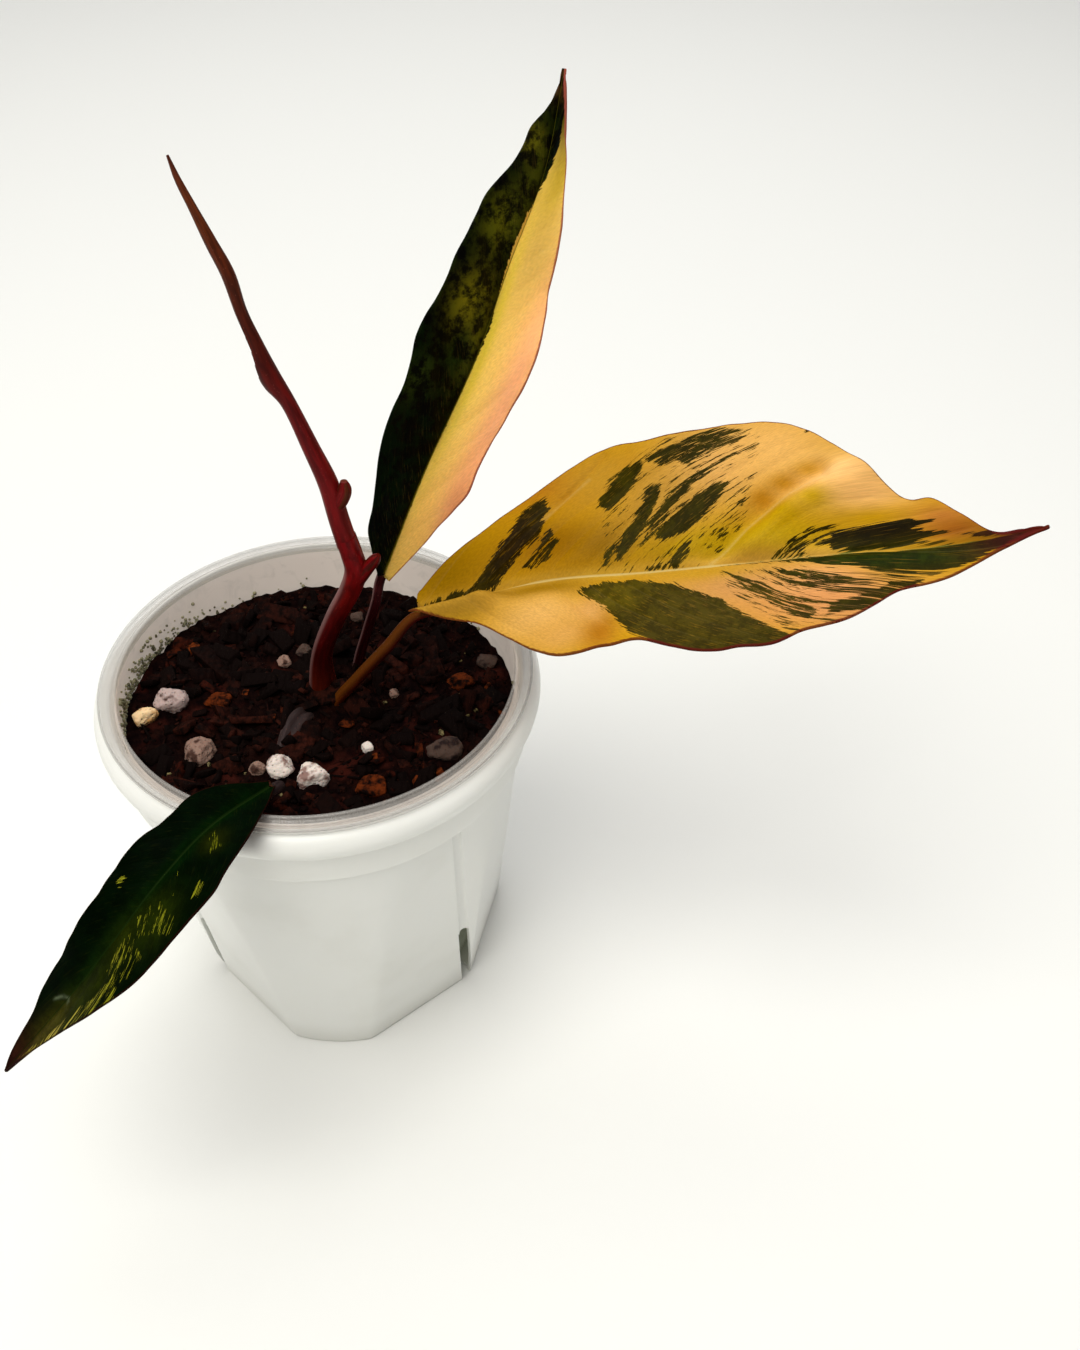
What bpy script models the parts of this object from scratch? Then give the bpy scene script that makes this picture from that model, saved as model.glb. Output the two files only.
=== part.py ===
"""A young philodendron with variegated leaves, in a clear liner pot that hangs in a white slit pot.

Metres, +Z up. The origin is the middle of the outer pot's foot, on the surface that it stands on,
and -Y is the side that faces a viewer. Sizes are written in millimetres and scaled where a mesh is made.
"""

import math
import random

import bmesh
import bpy
from mathutils import Matrix, Vector, noise

MM = 0.001
# The gap left between pieces that touch
GAP = 0.3

# Outer pot: a round cone with six flats, three rounded lobes and three corners with a slit
POT_TURN = -2.35  # degrees that the front lobe is turned from -Y
POT_SIDES = 60
POT_WALL = 1.3
POT_FLOOR = 2.0
FOOT_RADIUS = 47.7
BODY_TOP_RADIUS = 54.4
BODY_HEIGHT = 88.5
COLLAR_RADIUS = 56.2
COLLAR_TOP = 99.0
RIM_RADIUS = 60.0
RIM_TOP = 108.3
FLAT_FROM_LOBE = 41.0  # degrees from a lobe's middle to the middle of each flat beside it
FLAT_AT_FOOT = 42.4  # from the axis to a flat, at the foot
FLAT_AT_TOP = 53.5  # and at the top of the body
# Degrees from the front lobe to each slit's corner, and which edge of the flats the slit follows
SLIT_CORNERS = [(60.0, 1), (180.0, 1), (-60.0, -1)]
SLIT_WIDTH = 2.4
SLIT_TOP = 31.0
GROOVE_WIDTH = 1.6
GROOVE_DEPTH = 0.6

# Liner pot: thin clear shell with a stepped flange that sits on the outer rim
LINER_SIDES = 50
LINER_WALL = 0.8
LINER_FLOOR = 4.4
LINER_FOOT_RADIUS = 39.5
LINER_BODY_RADIUS = 51.2
LINER_STEP = 89.5  # height where the body widens to its collar
LINER_COLLAR_RADIUS = 54.0
FLANGE_RADIUS = 58.0
FLANGE_TOP = 110.2
DRAIN_RADIUS = 3.5
DRAIN_CIRCLE = 25.0
DRAIN_COUNT = 6

# Soil: a plug of bark mix that fills the liner to a finger's breadth under its flange
SOIL_LEVEL = 96.5
SOIL_SLOPE = (-0.03, -0.035)  # rise along X and along Y
SOIL_RELIEF = 1.1
SOIL_RINGS = 9
SOIL_SIDES = 40
CHIP_COUNT = 48
CHIP_MARGIN = 9.0  # from the collar's outside to the outermost chips' middles

# Lumps that lie on the soil: x, y, radius, height of the middle above the soil
PERLITE = {
    "perlite_pitted": (-41.3, -2.0, 4.0, 1.3),
    "perlite_cream": (-47.0, -8.5, 3.1, 1.2),
    "perlite_rose": (-30.4, -21.3, 4.1, 1.0),
    "perlite_round": (-7.4, -28.0, 3.3, 2.6),
    "perlite_small": (-13.8, -26.8, 2.0, 0.9),
    "perlite_wedge": (1.0, -29.6, 3.8, 1.3),
    "perlite_spark": (14.0, -18.5, 1.5, 0.9),
    "perlite_dot": (19.0, 4.0, 1.4, 0.8),
    "perlite_left": (-13.1, 15.5, 2.1, 0.8),
    "perlite_middle": (-8.2, 21.0, 2.1, 0.6),
    "perlite_back": (5.5, 36.5, 1.8, 0.8),
    "perlite_grey": (34.5, -17.5, 4.0, 0.4),
    "perlite_right": (44.6, 18.4, 2.7, 0.5),
    "bark_amber": (-29.0, -1.0, 3.2, 0.8),
    "bark_brown": (16.8, -32.5, 3.6, 0.8),
    "bark_rust": (37.0, 9.5, 3.4, 0.6),
    "bark_tan": (7.6, -8.5, 1.8, 0.7),
}

# Stem and the rolled new leaf: points along the middle, and the radius at each
STEM_ROUTE = [
    (-2, 8, 82), (-2, 7, 96), (0, 4.4, 111), (5.5, 3.5, 124.5),
    (10.5, 3, 134), (13, 2.5, 141), (12.7, 2.5, 146.5), (11.8, 2.5, 152),
]
STEM_RADII = [3.6, 4.0, 3.1, 3.1, 3.2, 3.3, 3.2, 3.1]
STUB_ROUTE = [(11, 2.5, 136), (14.8, 2, 140.8), (17.4, 1.4, 144.4), (19, 1, 147)]
STUB_RADII = [2.2, 1.8, 1.4, 1.1]
NEW_LEAF_ROUTE = [
    (11.74, 2.5, 152.35), (10.8, 2.5, 158), (9.3, 3, 167.5), (6, 3.5, 177.5), (1.8, 4, 189),
    (-1.4, 4.4, 195.5), (-3.6, 5, 203), (-5.3, 5.5, 211), (-6.9, 6, 219.5), (-9.5, 6.5, 226.5),
    (-12.9, 7, 234), (-15, 7.6, 239.5), (-16.3, 8, 244.4),
]
NEW_LEAF_RADII = [3.1, 3.0, 2.9, 2.3, 1.8, 2.5, 2.0, 2.1, 2.0, 1.8, 1.4, 1.0, 0.5]
KNOB_PLACE = (12.6, 2.3, 165.0)
KNOB_SIZE = (2.0, 2.0, 3.4)

BLADE_THICKNESS = 0.8
# Each blade: its midrib, the way its face looks at base and tip, how far each half is folded up,
# and the half widths at even steps from base to tip
WIDE_LEAF = {
    "midrib": [(30, -5, 135), (60.5, -10, 148), (84.5, -14, 154), (108, -17, 159.5), (129.5, -19, 164),
               (151.5, -20, 167), (175, -19, 172)],
    "face": [(0, -0.3, 0.95), (0, -0.3, 0.95)],
    "fold": [(12, 8), (20, 14), (10, 8)],
    "left": [5, 15, 23.5, 30, 32, 33, 34.5, 33, 25.5, 15, 10.5, 2.2, 0.5],
    "right": [3, 9.5, 21.5, 25.5, 22.5, 25.5, 27, 25.5, 20.5, 13, 8.5, 4.5, 0.5],
    "wave": (1.5, 3, 0.1, 0.4),
}
UPRIGHT_LEAF = {
    "midrib": [(18, 15, 130), (30.5, 20, 160), (43.5, 27, 186.5), (52, 36, 207), (60.5, 46, 226),
               (65, 58, 245)],
    "face": [(0.1, -0.95, 0.3), (0.1, -0.95, 0.3)],
    "fold": [(28, 28), (32, 32), (24, 24)],
    "left": [2, 8.5, 12, 15.5, 17, 18, 16.5, 15.5, 13.5, 10.5, 7, 3, 0.4],
    "right": [2.5, 7, 11, 14, 15, 15, 14.5, 13, 10, 7, 4.5, 2, 0.4],
    "wave": (1.2, 4, 0.0, 0.5),
}
LOW_LEAF = {
    "midrib": [(-6, -45, 112), (-17, -59.5, 114.5), (-27, -71.5, 110), (-37.5, -80, 99.5), (-51, -87, 84),
               (-70, -93, 62)],
    "face": [(0.15, -0.2, 0.95), (-0.2, -0.3, 0.9)],
    "fold": [(14, 14), (16, 16), (10, 10)],
    "left": [1.5, 6, 9.5, 12, 14.5, 15, 14, 13.5, 13, 10, 6, 2.5, 0.5],
    "right": [1.5, 6, 7, 7.5, 8.5, 10, 10, 9.5, 9, 8.5, 6.5, 3, 0.5],
    "wave": (0.8, 3, 0.0, 0.4),
}
# Each petiole runs from its hole in the soil to its blade
WIDE_PETIOLE = [(2.4, 1.6, 83), (3.2, 0.8, 96.5), (10, -2, 110), (19, -3.8, 123)]
UPRIGHT_PETIOLE = [(7, 14.5, 84), (8, 14.5, 97), (12, 14, 111), (15.2, 14.2, 121)]
LOW_PETIOLE = [
    (-3.6, -1.5, 85), (-4.8, -5, 95), (-7, -12, 97.4), (-8.4, -19, 96.4), (-8.8, -27, 95), (-9.4, -35, 98),
    (-7.8, -41.5, 106),
]
PETIOLE_RADIUS = 1.9
PETIOLE_TOP_RADIUS = 1.5

COLOURS = {
    # Colour, roughness and transmission
    "white_plastic": ((0.83, 0.84, 0.79), 0.35, 0.0),
    "clear_plastic": ((0.85, 0.85, 0.82), 0.12, 0.85),
    "bark_mix": ((0.035, 0.018, 0.012), 0.95, 0.0),
    "perlite": ((0.72, 0.68, 0.64), 0.9, 0.0),
    "bark_chip": ((0.28, 0.11, 0.04), 0.85, 0.0),
    "stem_red": ((0.16, 0.012, 0.025), 0.4, 0.0),
    "leaf_yellow": ((0.58, 0.32, 0.04), 0.4, 0.0),
    "leaf_dark": ((0.02, 0.035, 0.01), 0.4, 0.0),
}


def make_material(name):
    colour, roughness, transmission = COLOURS[name]
    material = bpy.data.materials.new(name)
    material.use_nodes = True
    shader = material.node_tree.nodes["Principled BSDF"]
    shader.inputs["Base Color"].default_value = (*colour, 1.0)
    shader.inputs["Roughness"].default_value = roughness
    shader.inputs["Transmission Weight"].default_value = transmission
    material.diffuse_color = (*colour, 1.0)
    return material


def shade(mesh):
    mesh.shade_smooth()
    mesh.set_sharp_from_angle(angle=math.radians(30))


def make_object(name, mesh_data, material=None):
    """A mesh built in millimetres becomes an object in metres."""
    bmesh.ops.scale(mesh_data, vec=(MM, MM, MM), verts=mesh_data.verts)
    mesh = bpy.data.meshes.new(name)
    mesh_data.to_mesh(mesh)
    mesh_data.free()
    shade(mesh)
    piece = bpy.data.objects.new(name, mesh)
    bpy.context.scene.collection.objects.link(piece)
    if material:
        mesh.materials.append(make_material(material))
    else:
        piece.hide_render = True
        piece.display_type = "WIRE"
    return piece


def cut(piece, cutter, operation="DIFFERENCE"):
    modifier = piece.modifiers.new(cutter.name, "BOOLEAN")
    modifier.operation = operation
    modifier.solver = "EXACT"
    modifier.object = cutter


def settle(piece, helpers=()):
    """Applies a piece's modifiers, drops loose scraps, and removes the helpers they used."""
    graph = bpy.context.evaluated_depsgraph_get()
    solid = bmesh.new()
    solid.from_object(piece, graph)
    bmesh.ops.remove_doubles(solid, verts=solid.verts, dist=1e-7)
    keep_largest_body(solid)
    solid.to_mesh(piece.data)
    solid.free()
    shade(piece.data)
    piece.modifiers.clear()
    for helper in helpers:
        bpy.data.objects.remove(helper)


def keep_largest_body(solid):
    left = set(solid.verts)
    bodies = []
    while left:
        front = [left.pop()]
        body = set(front)
        while front:
            vert = front.pop()
            for edge in vert.link_edges:
                other = edge.other_vert(vert)
                if other in left:
                    left.discard(other)
                    body.add(other)
                    front.append(other)
        bodies.append(body)
    bodies.sort(key=len)
    for body in bodies[:-1]:
        bmesh.ops.delete(solid, geom=list(body), context="VERTS")


def smooth_along(points, t):
    """A smooth curve through evenly spaced values or points, with t from 0 to 1."""
    last = len(points) - 1
    place = min(max(t, 0.0), 1.0) * last
    i = min(int(place), last - 1)
    u = place - i
    b, c = points[i], points[i + 1]
    a = points[i - 1] if i > 0 else 2 * b - c
    d = points[i + 2] if i + 2 <= last else 2 * c - b
    return b + (c - a + (2 * a - 5 * b + 4 * c - d + (3 * (b - c) + d - a) * u) * u) * (0.5 * u)


def vectors(points):
    return [Vector(point) for point in points]


def turned(name, profile, material=None, sides=POT_SIDES):
    """A solid of revolution from (radius, height) points that start and end on the axis."""
    mesh_data = bmesh.new()
    verts = [mesh_data.verts.new((radius, 0, height)) for radius, height in profile]
    edges = [mesh_data.edges.new(pair) for pair in zip(verts, verts[1:])]
    turn = {"cent": (0, 0, 0), "axis": (0, 0, 1), "angle": math.tau, "steps": sides, "use_merge": True}
    bmesh.ops.spin(mesh_data, geom=verts + edges, **turn)
    bmesh.ops.remove_doubles(mesh_data, verts=mesh_data.verts, dist=1e-4)
    bmesh.ops.recalc_face_normals(mesh_data, faces=mesh_data.faces)
    return make_object(name, mesh_data, material)


def block(name, near, far, matrix=None):
    """A cutter with a bottom rectangle and a top one, each given as corners (x0, x1, y0, y1, z)."""
    mesh_data = bmesh.new()
    bmesh.ops.create_cube(mesh_data, size=2.0)
    for vert in mesh_data.verts:
        x0, x1, y0, y1, z = far if vert.co.z > 0 else near
        vert.co = Vector((x1 if vert.co.x > 0 else x0, y1 if vert.co.y > 0 else y0, z))
    if matrix:
        mesh_data.transform(matrix)
    return make_object(name, mesh_data)


def limb(name, route, radii, material=None, sides=10, steps=3, grow=0.0):
    """A round stem along a smooth curve through route, closed at both ends."""
    mesh_data = bmesh.new()
    route = vectors(route)
    count = (len(route) - 1) * steps
    rings = []
    for i in range(count + 1):
        t = i / count
        along = smooth_along(route, t + 0.004) - smooth_along(route, t - 0.004)
        turn = along.to_track_quat("Z", "Y").to_matrix().to_4x4()
        place = Matrix.Translation(smooth_along(route, t)) @ turn
        radius = smooth_along(radii, t) + grow
        ring = bmesh.ops.create_circle(
            mesh_data, cap_ends=i in (0, count), segments=sides, radius=radius, matrix=place
        )
        rings.append(ring["verts"])
    for lower, upper in zip(rings, rings[1:]):
        edges = [edge for edge in mesh_data.edges if len({*edge.verts} & {*lower, *upper}) == 2]
        bmesh.ops.bridge_loops(mesh_data, edges=edges)
    bmesh.ops.recalc_face_normals(mesh_data, faces=mesh_data.faces)
    return make_object(name, mesh_data, material)


def lump(name, radius, place, seed, material=None, grow=0.0, stretch=(1.0, 1.0, 0.85), rough=0.28):
    """A broken stone-like lump: a ball pushed in and out by noise."""
    mesh_data = bmesh.new()
    bmesh.ops.create_icosphere(mesh_data, subdivisions=2, radius=1.0)
    offset = Vector((seed * 3.1, seed * 1.7, seed * 2.3))
    for vert in mesh_data.verts:
        direction = vert.co.normalized()
        reach = radius * (1.0 + rough * noise.noise(direction * 1.4 + offset)) + grow
        vert.co = direction * Vector(stretch) * reach
    mesh_data.transform(Matrix.Translation(place))
    return make_object(name, mesh_data, material)


def blade_axes(leaf, t):
    """The midrib's point, and the directions across the blade and out of its face, at t."""
    midrib = vectors(leaf["midrib"])
    along = smooth_along(midrib, t + 0.01) - smooth_along(midrib, t - 0.01)
    side = along.cross(smooth_along(vectors(leaf["face"]), t)).normalized()
    return smooth_along(midrib, t), side, side.cross(along).normalized()


def blade_point(leaf, t, s):
    """A point of the blade: t runs from base to tip, and s from -1 at the left edge to 1 at the right."""
    middle, side, out = blade_axes(leaf, t)
    right = 1 if s > 0 else 0
    fold = math.radians(smooth_along([folds[right] for folds in leaf["fold"]], t))
    width = abs(s) * smooth_along(leaf["right" if right else "left"], t)
    height, count, *phases = leaf["wave"]
    wave = height * math.sqrt(math.sin(math.pi * t)) * math.sin(math.tau * (count * t + phases[right]))
    across = side * (math.cos(fold) if right else -math.cos(fold)) + out * math.sin(fold)
    return middle + across * width + out * (wave * s * s)


def blade(name, leaf, material, lengths=30, widths=8):
    mesh_data = bmesh.new()
    bmesh.ops.create_grid(mesh_data, x_segments=lengths, y_segments=widths, size=1.0)
    for vert in mesh_data.verts:
        t = min(max((vert.co.x + 1) / 2, 0.0), 1.0)
        vert.co = blade_point(leaf, t, vert.co.y)
    bmesh.ops.triangulate(mesh_data, faces=mesh_data.faces)
    piece = make_object(name, mesh_data, material)
    thicken = piece.modifiers.new("thickness", "SOLIDIFY")
    thicken.thickness = BLADE_THICKNESS * MM
    thicken.offset = 0.0
    return piece


def petiole(name, route, leaf, grow=0.0, material=None):
    """A petiole that leaves its hole and meets the blade's base end to end."""
    base = Vector(leaf["midrib"][0])
    along = (smooth_along(vectors(leaf["midrib"]), 0.01) - base).normalized()
    ends = [base - along * 4.0, base - along * (GAP + 0.1)]
    route = [*route, *(tuple(end) for end in ends)]
    radii = [PETIOLE_RADIUS] * (len(route) - 2) + [PETIOLE_TOP_RADIUS + 0.2, PETIOLE_TOP_RADIUS]
    return limb(name, route, radii, material, sides=8, grow=grow)


def corner_frame(number):
    """Places the slit at a corner: along its flat's edge, with +X outwards and +Z up the slit."""
    corner, mirror = SLIT_CORNERS[number]
    foot_angle = math.radians(POT_TURN + corner - 90)
    foot = FLAT_AT_FOOT / math.cos(math.radians(60 - FLAT_FROM_LOBE))
    half_flat = math.degrees(math.acos(FLAT_AT_TOP / BODY_TOP_RADIUS))
    top_angle = foot_angle - mirror * math.radians(60 - FLAT_FROM_LOBE - half_flat)
    low = Vector((foot * math.cos(foot_angle), foot * math.sin(foot_angle), 0))
    high = Vector((math.cos(top_angle), math.sin(top_angle), 0)) * BODY_TOP_RADIUS
    high.z = BODY_HEIGHT
    up = (high - low).normalized()
    outward = Vector((math.cos(foot_angle), math.sin(foot_angle), 0))
    outward = (outward - up * outward.dot(up)).normalized()
    side = up.cross(outward)
    return Matrix.Translation(low) @ Matrix((outward, side, up)).transposed().to_4x4()


def flats(inset, top):
    """Six cutters that leave a flat on the cone either side of each lobe."""
    below = 2.0
    slope = (FLAT_AT_TOP - FLAT_AT_FOOT) / BODY_HEIGHT
    low = FLAT_AT_FOOT - inset - slope * below
    high = FLAT_AT_FOOT - inset + slope * top
    near, far = (low, low + 30, -40, 40, -below), (high, high + 30, -40, 40, top)
    cutters = []
    for lobe in range(3):
        for side in (-1, 1):
            angle = math.radians(POT_TURN - 90 + 120 * lobe + side * FLAT_FROM_LOBE)
            cutters.append(block(f"flat_{lobe}_{side}_{inset}", near, far, Matrix.Rotation(angle, 4, "Z")))
    return cutters


def outer_pot():
    pot = turned("outer_pot", [
        (0, 0), (FOOT_RADIUS - 0.8, 0), (FOOT_RADIUS, 0.8), (BODY_TOP_RADIUS, BODY_HEIGHT),
        (COLLAR_RADIUS, BODY_HEIGHT + 0.6), (COLLAR_RADIUS + 0.3, COLLAR_TOP),
        (RIM_RADIUS - 1.6, COLLAR_TOP + 0.9), (RIM_RADIUS - 0.4, COLLAR_TOP + 2.9),
        (RIM_RADIUS, COLLAR_TOP + 5.4), (RIM_RADIUS - 0.5, RIM_TOP - 1.8), (RIM_RADIUS - 1.6, RIM_TOP - 0.5),
        (RIM_RADIUS - 3.0, RIM_TOP), (0, RIM_TOP),
    ], "white_plastic")
    inner, above = COLLAR_RADIUS - POT_WALL, RIM_TOP + 2
    cavity = turned("outer_pot_inside", [
        (0, POT_FLOOR), (FOOT_RADIUS - POT_WALL, POT_FLOOR), (BODY_TOP_RADIUS - POT_WALL, BODY_HEIGHT + 0.8),
        (inner, BODY_HEIGHT + 2), (inner + 0.2, above), (0, above),
    ])
    helpers = [cavity]
    for inset, piece in ((0.0, pot), (POT_WALL, cavity)):
        for cutter in flats(inset, BODY_HEIGHT + 0.1):
            cut(piece, cutter)
            helpers.append(cutter)
    cut(pot, cavity)
    for number in range(3):
        frame = corner_frame(number)
        half = SLIT_WIDTH / 2
        slit = block(f"slit_{number}", (-5, 6, -half, half, -3), (-5, 6, -half, half, SLIT_TOP), frame)
        half = GROOVE_WIDTH / 2
        groove = block(
            f"groove_{number}", (-GROOVE_DEPTH, 6, -half, half, SLIT_TOP - 2),
            (-GROOVE_DEPTH, 6, -half, half, BODY_HEIGHT - 1), frame,
        )
        for cutter in (slit, groove):
            cut(pot, cutter)
            helpers.append(cutter)
    settle(pot, helpers)


def liner_radius(height):
    """Outer radius of the liner: a tapered body, then a nearly straight collar."""
    if height > LINER_STEP + 2:
        return LINER_COLLAR_RADIUS
    rise = min((height - LINER_FLOOR) / (LINER_STEP - LINER_FLOOR), 1.0)
    return LINER_FOOT_RADIUS + (LINER_BODY_RADIUS - LINER_FOOT_RADIUS) * rise


def liner_pot():
    seat = RIM_TOP + GAP
    floor_top = LINER_FLOOR + 1.0
    collar, flange = LINER_COLLAR_RADIUS, FLANGE_RADIUS
    liner = turned("liner_pot", [
        (0, LINER_FLOOR), (LINER_FOOT_RADIUS - 1, LINER_FLOOR), (liner_radius(floor_top), floor_top),
        (LINER_BODY_RADIUS, LINER_STEP), (collar, LINER_STEP + 2), (collar + 0.1, RIM_TOP - 0.6),
        (collar + 0.8, seat), (flange - 0.3, seat), (flange, seat + 0.3), (flange, FLANGE_TOP - 0.8),
        (flange - 0.4, FLANGE_TOP - 0.5), (flange - 2.0, FLANGE_TOP - 0.5), (flange - 2.4, FLANGE_TOP),
        (collar - 0.5, FLANGE_TOP), (collar - LINER_WALL, FLANGE_TOP - 0.9),
        (collar - LINER_WALL, LINER_STEP + 2.3), (LINER_BODY_RADIUS - LINER_WALL, LINER_STEP + 0.3),
        (liner_radius(floor_top) - LINER_WALL, floor_top), (0, floor_top),
    ], "clear_plastic", sides=LINER_SIDES)
    drains = []
    for number in range(DRAIN_COUNT + 1):
        angle = math.tau * number / DRAIN_COUNT
        reach = DRAIN_CIRCLE if number < DRAIN_COUNT else 0.0
        place = Matrix.Translation((reach * math.cos(angle), reach * math.sin(angle), LINER_FLOOR))
        drill = bmesh.new()
        size = {"radius1": DRAIN_RADIUS, "radius2": DRAIN_RADIUS, "depth": 6.0}
        bmesh.ops.create_cone(drill, cap_ends=True, segments=16, matrix=place, **size)
        drains.append(make_object(f"drain_{number}", drill))
        cut(liner, drains[-1])
    settle(liner, drains)


def soil_height(x, y):
    """The uneven, slightly sloping top of the bark mix."""
    hills = noise.noise(Vector((x, y, 3.0)) / 13.0) + 0.6 * noise.noise(Vector((x, y, 9.0)) / 5.0)
    return SOIL_LEVEL + SOIL_SLOPE[0] * x + SOIL_SLOPE[1] * y + SOIL_RELIEF * hills


def soil_plug():
    """Soil that fills the liner, with its top drawn in rings so that it can be uneven."""
    inset = LINER_WALL + GAP + 0.2
    bottom = LINER_FLOOR + 1.0 + GAP
    edge = LINER_COLLAR_RADIUS - inset
    top = [(edge * (1 - i / SOIL_RINGS), SOIL_LEVEL) for i in range(SOIL_RINGS + 1)]
    soil = turned("soil", [
        (0, bottom), (liner_radius(bottom) - inset, bottom), (LINER_BODY_RADIUS - inset, LINER_STEP),
        (edge, LINER_STEP + 2.8), *top,
    ], "bark_mix", sides=SOIL_SIDES)
    for vert in soil.data.vertices:
        if vert.co.z > (SOIL_LEVEL - 1) * MM:
            vert.co.z = soil_height(vert.co.x / MM, vert.co.y / MM) * MM
    return soil


def bark_chips(edge):
    """Flakes of bark sunk into the soil's top, at seeded places."""
    draw = random.Random(11)
    chips = bpy.data.collections.new("chips")
    bpy.context.scene.collection.children.link(chips)
    for number in range(CHIP_COUNT):
        angle, reach = draw.uniform(0, math.tau), edge * math.sqrt(draw.random())
        x, y = reach * math.cos(angle), reach * math.sin(angle)
        size = Vector((draw.uniform(2.6, 5.4), draw.uniform(1.5, 2.8), draw.uniform(0.9, 1.8)))
        heading = Matrix.Rotation(draw.uniform(0, math.tau), 4, "Z")
        turn = heading @ Matrix.Rotation(draw.uniform(-0.5, 0.5), 4, "Y")
        chip = bmesh.new()
        bmesh.ops.create_cube(chip, size=2.0)
        for vert in chip.verts:
            vert.co = vert.co * size * draw.uniform(0.72, 1.08)
        chip.transform(Matrix.Translation((x, y, soil_height(x, y) + 0.2)) @ turn)
        bmesh.ops.triangulate(chip, faces=chip.faces)
        piece = make_object(f"chip_{number:02d}", chip)
        bpy.context.scene.collection.objects.unlink(piece)
        chips.objects.link(piece)
    return chips


def filled_soil(holes):
    """Soil with its chips joined on, a plain hole for each stem and a nest for each lump."""
    soil = soil_plug()
    chips = bark_chips(LINER_COLLAR_RADIUS - CHIP_MARGIN)
    join = soil.modifiers.new("chips", "BOOLEAN")
    join.operation = "UNION"
    join.solver = "EXACT"
    join.operand_type = "COLLECTION"
    join.collection = chips
    settle(soil, list(chips.objects))
    bpy.data.collections.remove(chips)
    for hole in holes:
        cut(soil, hole)
    settle(soil, holes)


def lumps():
    """The perlite and the loose bark on the soil, each with the cutter for its nest."""
    nests = []
    for number, (name, (x, y, radius, rise)) in enumerate(PERLITE.items()):
        place = Vector((x, y, soil_height(x, y) + rise))
        stretch = (1.25, 0.85, 0.6) if name.startswith("bark") else (1.0, 0.95, 0.85)
        material = "bark_chip" if name.startswith("bark") else "perlite"
        lump(name, radius, place, number, material, stretch=stretch)
        nests.append(lump(f"nest_{number}", radius, place, number, grow=GAP + 0.1, stretch=stretch))
    return nests


def plant():
    """The stem, its leaves, and the cutters for their holes in the soil."""
    stem = limb("stem", STEM_ROUTE, STEM_RADII, "stem_red", sides=12)
    stub = limb("stub", STUB_ROUTE, STUB_RADII, sides=8)
    cut(stem, stub, "UNION")
    settle(stem, [stub])
    new_leaf = limb("new_leaf", NEW_LEAF_ROUTE, NEW_LEAF_RADII, "stem_red", sides=10, steps=2)
    knob = bmesh.new()
    bmesh.ops.create_icosphere(knob, subdivisions=2, radius=1.0)
    bmesh.ops.scale(knob, vec=KNOB_SIZE, verts=knob.verts)
    bmesh.ops.translate(knob, vec=KNOB_PLACE, verts=knob.verts)
    knob = make_object("knob", knob)
    cut(new_leaf, knob, "UNION")
    settle(new_leaf, [knob])
    blade("wide_leaf", WIDE_LEAF, "leaf_yellow", lengths=34, widths=10)
    blade("upright_leaf", UPRIGHT_LEAF, "leaf_dark", lengths=30, widths=8)
    blade("low_leaf", LOW_LEAF, "leaf_dark", lengths=30, widths=8)
    holes = [limb("stem_hole", STEM_ROUTE, STEM_RADII, sides=12, grow=GAP)]
    petioles = {
        "wide": (WIDE_PETIOLE, WIDE_LEAF),
        "upright": (UPRIGHT_PETIOLE, UPRIGHT_LEAF),
        "low": (LOW_PETIOLE, LOW_LEAF),
    }
    for name, (route, leaf) in petioles.items():
        petiole(f"{name}_petiole", route, leaf, material="stem_red")
        holes.append(petiole(f"{name}_hole", route, leaf, grow=GAP))
    return holes


def main():
    for old in list(bpy.data.objects):
        bpy.data.objects.remove(old)
    outer_pot()
    liner_pot()
    filled_soil(plant() + lumps())


main()
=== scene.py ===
"""The looks of a young variegated philodendron in a clear liner pot and a white slit pot.

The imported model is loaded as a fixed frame, and each finer piece is built in its place. Sizes are written
in millimetres, with the origin in the middle of the outer pot's foot, +Z up and -Y towards the viewer.
"""

import math
import random

import bmesh
import bpy
import numpy as np
from bpy.props import FloatProperty, FloatVectorProperty, IntProperty, PointerProperty
from bpy.types import Operator, Panel, PropertyGroup
from mathutils import Matrix, Vector, noise


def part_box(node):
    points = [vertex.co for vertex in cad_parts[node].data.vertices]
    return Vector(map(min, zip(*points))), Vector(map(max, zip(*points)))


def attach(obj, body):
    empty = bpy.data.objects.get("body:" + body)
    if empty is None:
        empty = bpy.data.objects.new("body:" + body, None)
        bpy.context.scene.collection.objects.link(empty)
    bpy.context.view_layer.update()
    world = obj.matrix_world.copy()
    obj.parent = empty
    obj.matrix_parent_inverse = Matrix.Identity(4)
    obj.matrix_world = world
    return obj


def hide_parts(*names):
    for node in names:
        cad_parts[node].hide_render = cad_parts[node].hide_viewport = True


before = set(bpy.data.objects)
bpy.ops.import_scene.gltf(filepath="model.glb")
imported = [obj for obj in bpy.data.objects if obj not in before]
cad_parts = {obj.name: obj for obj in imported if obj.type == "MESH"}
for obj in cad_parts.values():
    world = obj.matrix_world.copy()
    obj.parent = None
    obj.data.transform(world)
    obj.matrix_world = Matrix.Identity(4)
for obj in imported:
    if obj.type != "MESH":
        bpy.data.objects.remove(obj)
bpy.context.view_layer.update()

bl_info = {
    "name": "Potted philodendron",
    "version": (1, 0, 0),
    "blender": (4, 5, 0),
    "location": "3D View > Sidebar > Plant",
    "description": "Builds the finished plant, its pots and a plain studio round the packed frame",
    "category": "Add Mesh",
}

MM = 0.001
BODY = "root"


def in_mm(node):
    """A CAD node's lowest and highest corners, in millimetres."""
    low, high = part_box(node)
    return low / MM, high / MM


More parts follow.
